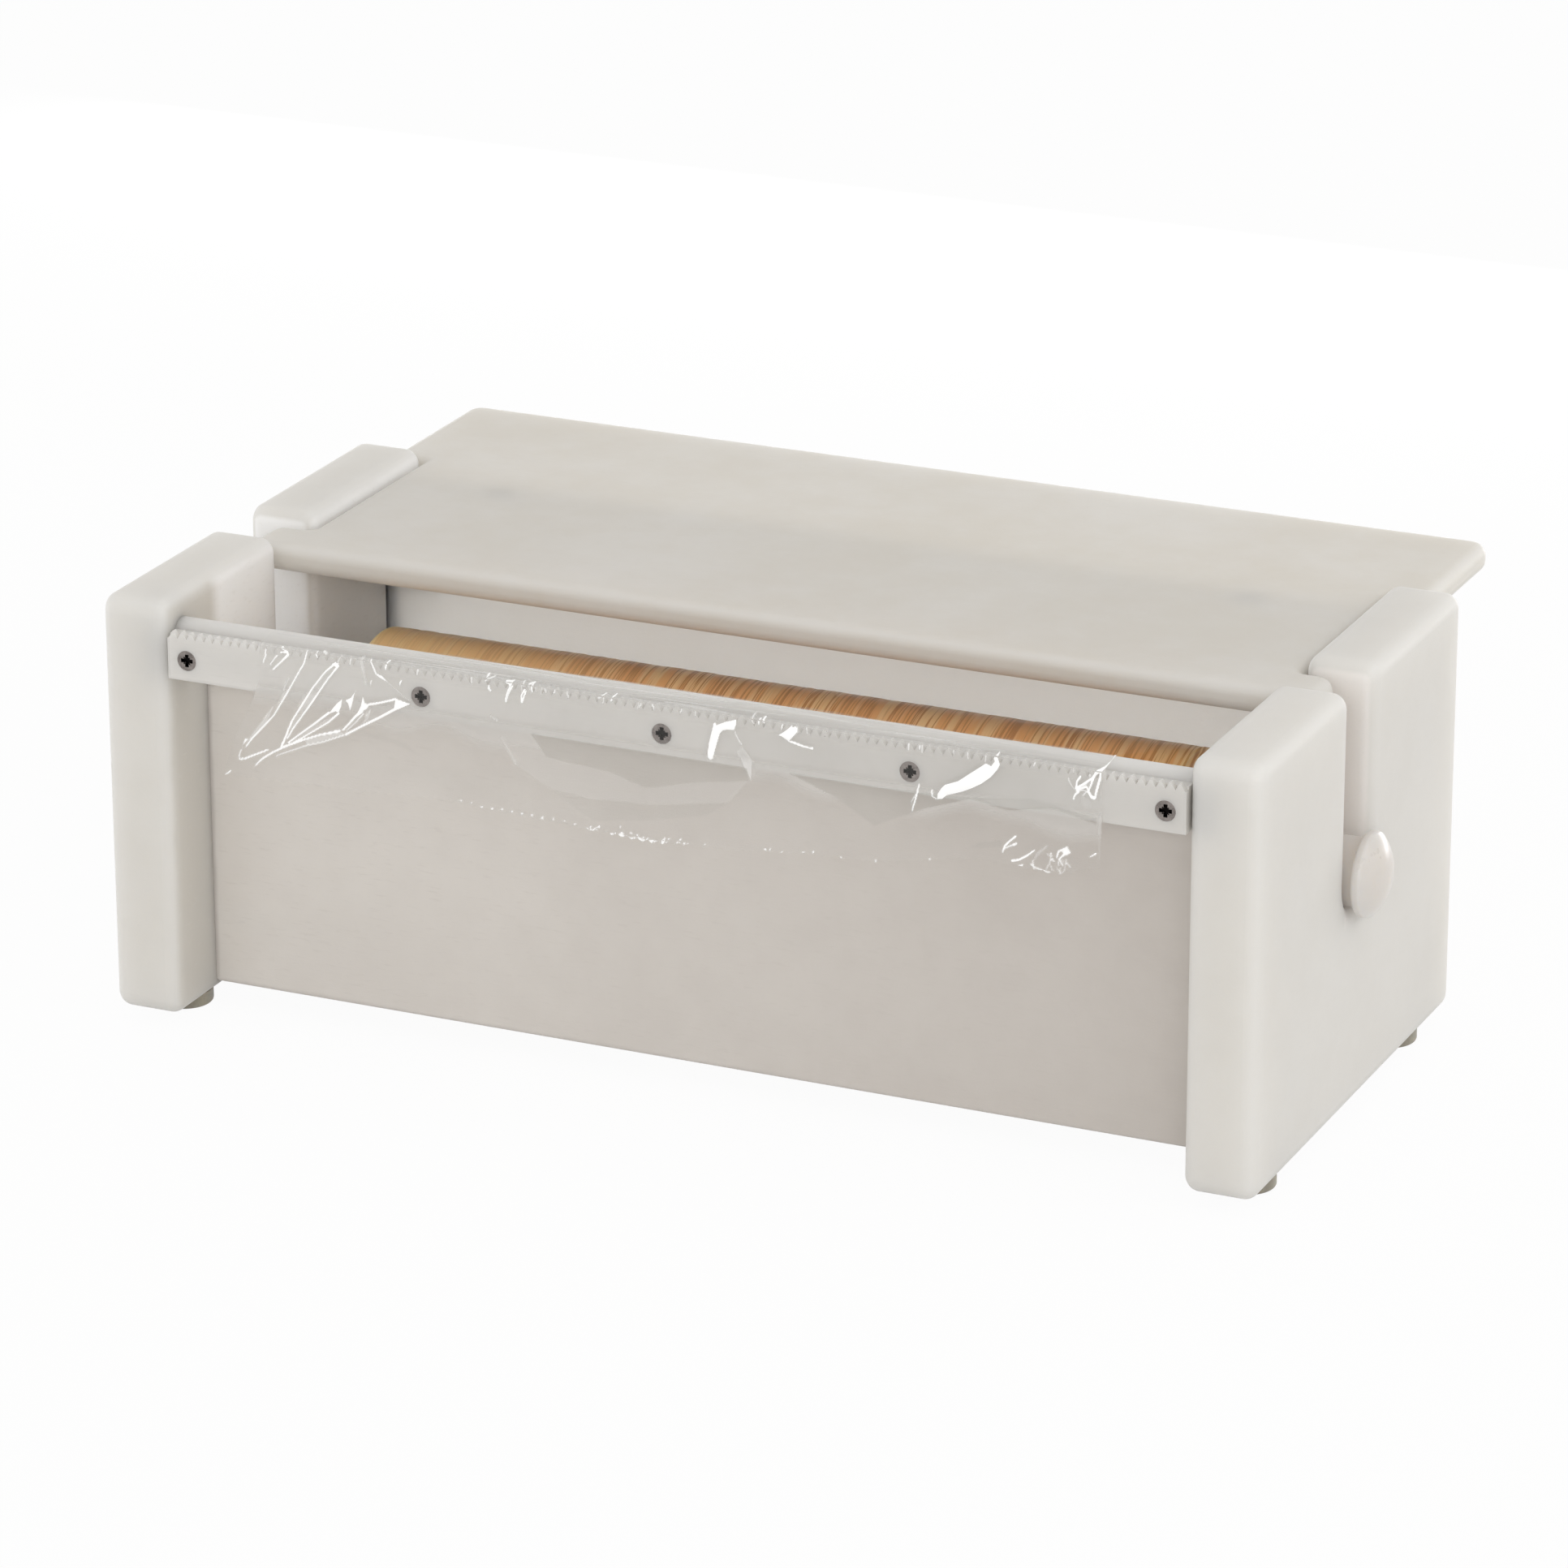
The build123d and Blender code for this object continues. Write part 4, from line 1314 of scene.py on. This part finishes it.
@dataclass(frozen=True)
class Sparkle:
    """Specks of painted highlight on the free end, along its cut lower edge and at some teeth. Sizes in
    millimetres.

    The lower edge has one at each cut, a cluster, and a thin tail. The cluster is given by its middle and
    spread, and so is the height of a speck above the edge.
    """

    seed: int = 17
    cuts: Pair = (-72.0, 14.0)
    cut_shine: Pair = (0.7, 1.0)
    cluster: Pair = (-7.0, 8.0)
    cluster_count: int = 58
    cluster_shine: Pair = (0.8, 1.0)
    tail: Pair = (16.0, 110.0)
    tail_count: int = 10
    tail_shine: float = 0.8
    inset: float = 0.3
    above: Pair = (0.2, 0.85)
    run: Pair = (0.1, 0.5)
    climb: Pair = (0.0, 0.5)
    start_width: Pair = (0.22, 0.5)
    end_width: Pair = (0.12, 0.35)
    teeth: Pair = (-140.0, 148.0)
    teeth_count: int = 30
    tooth_top: Pair = (-0.6, 0.4)
    tooth_lean: Pair = (-0.5, 0.5)
    tooth_foot: Pair = (1.2, 2.6)
    tooth_widths: Pair = (0.26, 0.16)
    tooth_shine: Pair = (0.3, 0.8)

    def creases(self, pitch: float, lower_edge: Path) -> list[Crease]:
        """Draws the specks as very short creases.

        Args:
            pitch: distance between two cuts of the lower edge.
            lower_edge: how far below the saw edge the film ends, by place across it.

        Returns:
            The creases.
        """
        draw = np.random.default_rng(self.seed)
        cuts = np.arange(*self.cuts, pitch)
        cluster = draw.normal(*self.cluster, self.cluster_count)
        edge = np.concatenate([cuts, cluster, draw.uniform(*self.tail, self.tail_count)])
        shines = [draw.uniform(*self.cut_shine, len(cuts))]
        shines.append(draw.uniform(*self.cluster_shine, self.cluster_count))
        shines.append(np.full(self.tail_count, self.tail_shine))
        made = []
        for x, low, shine in zip(edge, soft_profile(edge, lower_edge), np.concatenate(shines)):
            y = low - self.inset - abs(draw.normal(*self.above))
            path = ((x, y), (x + draw.uniform(*self.run), y - draw.uniform(*self.climb)))
            widths = (draw.uniform(*self.start_width), draw.uniform(*self.end_width))
            made.append(Crease(path, widths, rise=0.08, reach=0.9, shine=shine))
        for x in draw.uniform(*self.teeth, self.teeth_count):
            top = (x, draw.uniform(*self.tooth_top))
            path = (top, (x + draw.uniform(*self.tooth_lean), draw.uniform(*self.tooth_foot)))
            shine = draw.uniform(*self.tooth_shine)
            made.append(Crease(path, self.tooth_widths, rise=0.2, reach=0.8, shine=shine))
        return made


@dataclass(frozen=True)
class WebWaves:
    """Slight waves of film stretched from the roll to the rail. Sizes in millimetres."""

    height: float = 0.16
    pitch: float = 4.6
    turn: float = 0.02
    drift: float = 2.2
    drift_step: float = 26.0
    least: float = 0.6
    uneven_step: float = 13.0

    def lift(
        self, across: np.ndarray, columns: np.ndarray, along: np.ndarray, free: float
    ) -> np.ndarray:
        """How far the film stands off its line: sines across it that fade at the roll and at the rail.

        Args:
            across: places across the film, on the whole grid.
            columns: places across the film at the saw edge.
            along: distance of each row from the roll.
            free: length of the free stretch.

        Returns:
            Heights on the grid.
        """
        fade = np.sin(np.pi * np.clip(along / free, 0.0, 1.0))[:, None]
        drift = rough_line(columns, self.drift_step, seed=31)[None] * self.drift
        waves = 0.5 + 0.5 * np.sin(across / self.pitch + drift + self.turn * along[:, None])
        uneven = self.least + (1.0 - self.least) * rough_line(columns, self.uneven_step, seed=32)[None]
        return self.height * fade * waves * uneven


@dataclass(frozen=True)
class HangingWaves:
    """How the free end stands forward of the strip. Sizes in millimetres.

    Each swell has a height and the drop where it starts and ends. Three waves across the film, a main, a
    second and a slow one, grow downwards over the growth.
    """

    swells: tuple[Triple, ...] = ((0.35, 0.0, 6.0), (1.1, 14.0, 46.0))
    growth: Pair = (8.0, 46.0)
    height: float = 0.55
    mean: float = 1.6
    main_pitch: float = 9.5
    main_start: float = 0.7
    second_share: float = 0.6
    second_pitch: float = 5.3
    second_slope: float = 16.0
    slow_share: float = 0.5
    slow_pitch: float = 21.0

    def forward(self, across: np.ndarray, drop: np.ndarray, gap: float) -> np.ndarray:
        """Adds up the gap, the swells and the waves.

        Args:
            across: places across the film.
            drop: places below the saw edge.
            gap: distance from the strip at the saw edge.

        Returns:
            Distances in front of the strip.
        """
        swell = sum(height * smooth_step(start, end, drop) for height, start, end in self.swells)
        waves = np.sin(across / self.main_pitch + self.main_start)
        waves = waves + self.second_share * np.sin(across / self.second_pitch + drop / self.second_slope)
        waves = waves + self.slow_share * np.sin(across / self.slow_pitch)
        return gap + swell + self.height * smooth_step(*self.growth, drop) * (waves + self.mean)


@dataclass(frozen=True)
class Haze:
    """How much the film's layers show on the free end, from clear to white. Sizes in millimetres.

    A second layer hangs behind the first, from its top down to an uneven foot.
    """

    single: float = 0.1
    at_teeth: float = 0.42
    teeth_drop: Pair = (4.5, 2.5)
    second: float = 0.7
    second_top: Pair = (12.0, 15.5)
    second_foot: float = 20.0
    foot_uneven: float = 3.0
    foot_step: float = 17.0
    foot_blur: Pair = (4.0, -2.0)
    double: float = 0.5
    double_blur: float = 0.35

    def lay(
        self, across: np.ndarray, drop: np.ndarray, columns: np.ndarray
    ) -> tuple[np.ndarray, np.ndarray]:
        """Works out the layers, and the patches of painted shadow where the film lies single.

        Args:
            across: places across the film.
            drop: places below the saw edge.
            columns: places across the film at the saw edge.

        Returns:
            How much the layers show, and how strong the painted shadow is.
        """
        layers = self.single + self.at_teeth * smooth_step(*self.teeth_drop, drop)
        foot = self.second_foot + self.foot_uneven * rough_line(columns, self.foot_step, seed=51)[None]
        second = self.second * smooth_step(*self.second_top, drop)
        layers = layers + second * smooth_step(*self.foot_blur, drop - foot)
        inside = smooth_step(-self.double_blur, self.double_blur, inset(across, drop, DOUBLE))
        layers = np.maximum(layers, self.double * inside)
        # painted shadow of the strip in the single patches, where the layers give way
        shade = np.zeros(across.shape)
        for strength, blur, outline in SINGLE_PAINTED_SHADOW:
            inside = smooth_step(-blur, blur, inset(across, drop, outline))
            layers = layers * (1.0 - inside)
            shade = np.maximum(shade, strength * inside)
        return layers, shade


@dataclass
class FilmLead:
    """Film from the roll over the rail, and its free end in front. Sizes in millimetres."""

    gap: float = 0.35
    left: float = -147.0
    right: float = 154.0
    left_reach: float = 13.0
    pull_start: float = 0.15
    pull_power: int = 6
    tooth_pitch: float = 3.3
    tooth_sag: float = 0.35
    tooth_reach: float = 3.0
    cut_pitch: float = 3.75
    cut_depth: float = 1.1
    cut_start: float = 0.96
    rail_slant: float = 0.37
    # strength of the painted shadow streaks on the rail
    rail_shade: float = 1.6
    rail_haze: float = 0.1
    rail_blur: float = 4.0
    edge_haze: float = 0.42
    edge_blur: Pair = (5.0, 1.5)
    straight_steps: int = 46
    rail_steps: int = 26
    tooth_steps: int = 5
    column_steps: Path = ((-147, 0.24), (-88, 0.6), (-66, 0.3), (-44, 0.45), (16, 0.32), (56, 0.7),
                          (88, 0.3), (154, 0))
    row_steps: Path = ((0.0, 0.0074), (0.45, 0.0116), (0.93, 0.0076), (1.0, 0.0))
    lower_edge: Path = ((-160, 48), (-72, 44.6), (-38, 46.1), (-22, 47.2), (-4, 47.3), (14, 46.2),
                        (71, 42), (120, 35.5), (139, 36), (154, 33))
    web_waves: WebWaves = WebWaves()
    hanging_waves: HangingWaves = HangingWaves()
    haze: Haze = Haze()
    sparkle: Sparkle = Sparkle()
    # painted highlights and painted shadow streaks of the creases on the rail
    painted_glints: RailWrinkles = RailWrinkles(seed=41, count=52)
    shadows: RailWrinkles = RailWrinkles(seed=43, count=44)
    crumples: tuple[Crumple, ...] = (
        Crumple((149.0, 5.0), (2.4, 4.0), lean=-2.6, count=9, seed=3),
        Crumple((138.0, 31.0), (8.0, 3.2), lean=1.5, count=12, seed=4),
    )

    def sag(self, across: np.ndarray) -> np.ndarray:
        """How far the film dips between two teeth: a half sine from tip to tip."""
        return self.tooth_sag * np.abs(np.sin(np.pi * across / self.tooth_pitch))

    @staticmethod
    def upper_normal(
        start: np.ndarray, start_radius: float, end: np.ndarray, end_radius: float
    ) -> np.ndarray:
        """Upward unit normal of the line that lies on two circles from above.

        Args:
            start: middle of the first circle.
            start_radius: its radius.
            end: middle of the second circle.
            end_radius: its radius.

        Returns:
            Unit vector in depth and height.
        """
        reach = end - start
        length = float(np.hypot(*reach))
        along = reach / length
        up = np.array([-along[1], along[0]])
        up = up if up[1] > 0 else -up
        lean = (start_radius - end_radius) / length
        return along * lean + up * math.sqrt(1.0 - lean * lean)

    def web_line(self) -> tuple[np.ndarray, np.ndarray]:
        """Line of the film in depth and height, from the roll over the rail to the saw edge.

        It is straight off the roll, round over the rail's top, straight to the teeth and round over them.

        Returns:
            Points and upward normals, in metres.
        """
        roll, rail, strip = Span.of("film_roll"), Span.of("cutter_rail"), Span.of("cutter_strip")
        radius = float(rail.half[1])
        centres = [roll.centre[1:], np.array([rail.centre[1], rail.high[2] - radius])]
        centres.append(np.array([strip.low[1], strip.high[2]]))
        gap = self.gap * MM
        radii = [float(roll.half[2]) + gap, radius + gap, gap]
        rise = self.upper_normal(centres[0], radii[0], centres[1], radii[1])
        fall = self.upper_normal(centres[1], radii[1], centres[2], radii[2])
        angles = [math.atan2(n[1], n[0]) for n in (rise, fall)] + [math.pi]

        def straight(count: int, first: int, normal: np.ndarray) -> tuple[np.ndarray, np.ndarray]:
            """Evenly spaced points from one circle to the next, without the last."""
            share = np.linspace(0.0, 1.0, count, endpoint=False)[:, None]
            ends = [centres[n] + normal * radii[n] for n in (first, first + 1)]
            return ends[0] * (1 - share) + ends[1] * share, np.repeat(normal[None], count, 0)

        def bend(count: int, which: int) -> tuple[np.ndarray, np.ndarray]:
            """Points on an arc round one circle."""
            turn = np.linspace(angles[which - 1], angles[which], count)
            normals = np.column_stack([np.cos(turn), np.sin(turn)])
            return centres[which] + radii[which] * normals, normals

        pieces = [straight(self.straight_steps, 0, rise), bend(self.rail_steps, 1)]
        pieces += [straight(self.rail_steps, 1, fall), bend(self.tooth_steps, 2)]
        return np.vstack([p for p, _ in pieces]), np.vstack([n for _, n in pieces])

    def web(self) -> bpy.types.Object:
        """Film between the roll and the saw edge, with the slight waves of stretched film.

        The line is carried across the film. The last stretch dips between the teeth, and folds of the free
        end go on over the teeth.

        Returns:
            The piece.
        """
        line, normals = self.web_line()
        steps = np.hypot(*np.diff(line, axis=0).T)
        along = np.concatenate([[0.0], np.cumsum(steps)]) / MM
        end = along[-1]
        share = along / end
        free = along[self.straight_steps]
        columns = stepped(self.column_steps)
        roll_half = Span.of("film_roll").half[0] / MM
        unit = (columns - self.left) / (self.right - self.left)
        at_roll = -roll_half + 2 * roll_half * unit
        across = at_roll[None] * (1 - share[:, None]) + columns[None] * share[:, None]
        near_teeth = smooth_step(end - self.tooth_reach, end, along)[:, None]
        lift = self.web_waves.lift(across, columns, along, free) - near_teeth * self.sag(columns)[None]
        offset = lift[..., None] * MM * normals[:, None, :]
        points = np.concatenate([across[..., None] * MM, line[:, None, :] + offset], axis=-1)
        piece = surface("film_web_sheet", points, flip=True)
        reached = along[:, None] + 0 * across
        # painted highlights of the rail's creases and of the folds over the teeth
        painted_glint = self.painted_glints.apply(across, reached, free, end)
        for fold in FAN + FOLDS:
            painted_glint = np.maximum(painted_glint, fold.apply(across, self.rail_slant * (reached - end))[1])
        keep_values(piece, "painted_glint", painted_glint)
        # painted shadow streaks on the rail
        keep_values(piece, "shade", self.rail_shade * self.shadows.apply(across, reached, free, end))
        on_rail = self.rail_haze * smooth_step(free - self.rail_blur, free, reached)
        far, near = (end - reach for reach in self.edge_blur)
        keep_values(piece, "layers", on_rail + self.edge_haze * smooth_step(far, near, reached))
        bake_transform(piece)
        return piece

    def free_end(self) -> bpy.types.Object:
        """Free end of the film: a grid that hangs from the saw edge, with creases, specks and a cut edge.

        Each point lies below the saw edge by a share of the film's length there. It stands forward by the
        hanging waves and the rise of the fold near it.

        Returns:
            The piece.
        """
        strip = Span.of("cutter_strip")
        columns = stepped(self.column_steps)
        share = stepped(self.row_steps)[:, None]
        pull = self.left_reach * smooth_step(self.pull_start, 1.0, share)
        unit = (columns - self.left) / (self.right - self.left)
        across = columns[None] - pull * (1.0 - unit[None]) ** self.pull_power
        length = soft_profile(columns, self.lower_edge)[None]
        saw = np.abs(((columns / self.cut_pitch) % 1.0) - 0.5)[None] * 2.0
        drop = share * length - smooth_step(self.cut_start, 1.0, share) * saw * self.cut_depth
        painted_glint, rise = np.zeros(across.shape), np.zeros(across.shape)
        folds = [*FAN, *FOLDS, *self.sparkle.creases(self.cut_pitch, self.lower_edge)]
        for crumple in self.crumples:
            folds += crumple.creases()
        # painted highlights of the folds, specks and crumples
        for fold in folds:
            raised, shine = fold.apply(across, drop)
            rise = np.maximum(rise, raised)
            painted_glint = np.maximum(painted_glint, shine)
        forward = self.hanging_waves.forward(across, drop, self.gap) + rise
        layers, shade = self.haze.lay(across, drop, columns)
        sag = smooth_step(self.tooth_reach, 0.0, drop) * self.sag(columns)[None]
        height = strip.high[2] - (drop + sag * 0.5) * MM
        depth = strip.low[1] - forward * MM + sag * MM * 0.5
        points = np.stack([across * MM, depth, height], axis=-1)
        piece = surface("film_free_end", points, flip=True)
        # painted highlights, haze and painted shadow stored for the film's material
        for name, values in (("painted_glint", painted_glint), ("layers", layers), ("shade", shade)):
            keep_values(piece, name, values)
        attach(piece, "frame")
        width = 2 * Span.of("film_roll").half[0]
        return piece

    def build(self) -> None:
        """Makes the two stretches of film and gives them the clear finish."""
        material = ClearFilmFinish("clear_film").make()
        for piece, node in ((self.web(), "film_web"), (self.free_end(), "film_flap")):
            piece.data.materials.append(material)
            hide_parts(node)
            LOG.info("made %s", piece.name)


@dataclass(frozen=True)
class SoftBox:
    """Rectangular studio lamp, in metres and watts."""

    name: str
    place: Triple
    size: Pair
    power: float

    def hang(self, aim: Vector) -> None:
        """Adds the lamp and turns it towards a point."""
        lamp = bpy.data.lights.new(self.name, "AREA")
        lamp.shape = "RECTANGLE"
        lamp.size, lamp.size_y = self.size
        lamp.energy = self.power
        holder = bpy.data.objects.new(self.name, lamp)
        holder.location = self.place
        holder.rotation_euler = (aim - Vector(self.place)).to_track_quat("-Z", "Y").to_euler()
        bpy.context.scene.collection.objects.link(holder)


@dataclass
class Studio:
    """Floor, lamps, surroundings and camera. The image is square, 1932 pixels wide."""

    image_px: float = 1932.0
    focal_px: float = 8736.7
    sensor_mm: float = 36.0
    yaw_deg: float = 24.327
    pitch_deg: float = 20.384
    roll_deg: float = -0.132
    distance: float = 2.3912
    target: Triple = (0.00192, -0.03305, 0.08674)
    floor_half: float = 5.0
    surround: float = 0.705
    surround_colour: Colour = (1.0, 0.99, 0.97)
    floor_grey: float = 0.86
    floor_white: float = 0.95
    lamps: tuple[SoftBox, ...] = (
        SoftBox("front_lamp", (0.80, -2.1, 0.98), (1.6, 0.4), 9.5),
        SoftBox("side_lamp", (2.1, -0.1, 1.5), (1.4, 1.4), 9.0),
        SoftBox("back_lamp", (0.0, 0.95, 0.08), (1.6, 0.12), 4.0),
        SoftBox("left_lamp", (-1.1, -0.18, 0.09), (0.7, 0.14), 1.4),
    )

    def camera(self) -> None:
        """Sets the camera on a sphere round its target, turned by yaw, pitch and roll."""
        yaw, pitch, roll = (math.radians(a) for a in (self.yaw_deg, self.pitch_deg, self.roll_deg))
        level = math.cos(pitch)
        back = Vector((math.sin(yaw) * level, -math.cos(yaw) * level, math.sin(pitch)))
        side = Vector((math.cos(yaw), math.sin(yaw), 0.0))
        up = back.cross(side)
        right = side * math.cos(roll) + up * math.sin(roll)
        above = up * math.cos(roll) - side * math.sin(roll)
        lens = bpy.data.cameras.new("camera")
        lens.sensor_width = self.sensor_mm
        lens.lens = self.focal_px / self.image_px * self.sensor_mm
        holder = bpy.data.objects.new("camera", lens)
        turned = Matrix((right, above, back)).transposed().to_4x4()
        holder.matrix_world = Matrix.Translation(Vector(self.target) + back * self.distance) @ turned
        bpy.context.scene.collection.objects.link(holder)
        bpy.context.scene.camera = holder

    @staticmethod
    def seen_directly(write: NodeWriter) -> Socket:
        """1 for rays that show the background itself: from the camera, a mirror or through glass."""
        path = write.add("ShaderNodeLightPath", {}).outputs
        seen = write.math("MAXIMUM", path["Is Camera Ray"], path["Is Glossy Ray"])
        return write.math("MAXIMUM", seen, path["Is Transmission Ray"])

    def surroundings(self) -> None:
        """White background to the eye, and even soft light on the object."""
        world = bpy.data.worlds.new("surroundings")
        world.use_nodes = True
        write = NodeWriter(world.node_tree)
        seen = self.seen_directly(write)
        soft = {"Color": (*self.surround_colour, 1.0), "Strength": self.surround}
        light = write.add("ShaderNodeBackground", soft)
        white = write.add("ShaderNodeBackground", {"Color": (*WHITE, 1.0), "Strength": 1.0})
        mixed = write.add("ShaderNodeMixShader", {0: seen, 1: light.outputs[0], 2: white.outputs[0]})
        write.add("ShaderNodeOutputWorld", {"Surface": mixed.outputs[0]})
        bpy.context.scene.world = world

    def floor(self) -> None:
        """Pale floor that keeps a faint shadow of the object."""
        edge = self.floor_half
        ends = np.array([-edge, edge])
        across, depth = np.meshgrid(ends, ends)
        plane = surface("floor", np.stack([across, depth, np.zeros((2, 2))], axis=-1))
        material = bpy.data.materials.new("floor")
        material.use_nodes = True
        write = NodeWriter(material.node_tree)
        grey = self.floor_grey
        matt = write.add("ShaderNodeBsdfDiffuse", {"Color": (grey, grey, grey, 1.0)})
        white = write.add("ShaderNodeEmission", {"Color": (*WHITE, 1.0), "Strength": 1.0})
        share = write.math("MULTIPLY", self.seen_directly(write), self.floor_white)
        mixed = write.add("ShaderNodeMixShader", {0: share, 1: matt.outputs[0], 2: white.outputs[0]})
        write.add("ShaderNodeOutputMaterial", {"Surface": mixed.outputs[0]})
        plane.data.materials.append(material)

    def build(self) -> None:
        """Sets up everything round the object."""
        self.camera()
        self.surroundings()
        self.floor()
        for lamp in self.lamps:
            lamp.hang(Vector(self.target))
        bpy.context.scene.view_settings.view_transform = "Standard"


def main() -> None:
    """Builds the dispenser's looks in order, then the studio."""
    logging.basicConfig(level=logging.INFO, format="%(message)s")
    for part in (Carcass(), CuttingHead(), Lid(), Feet(), RollSet(), FilmLead(), Studio()):
        part.build()
        LOG.info("built %s", type(part).__name__)


if __name__ == "__main__":
    main()
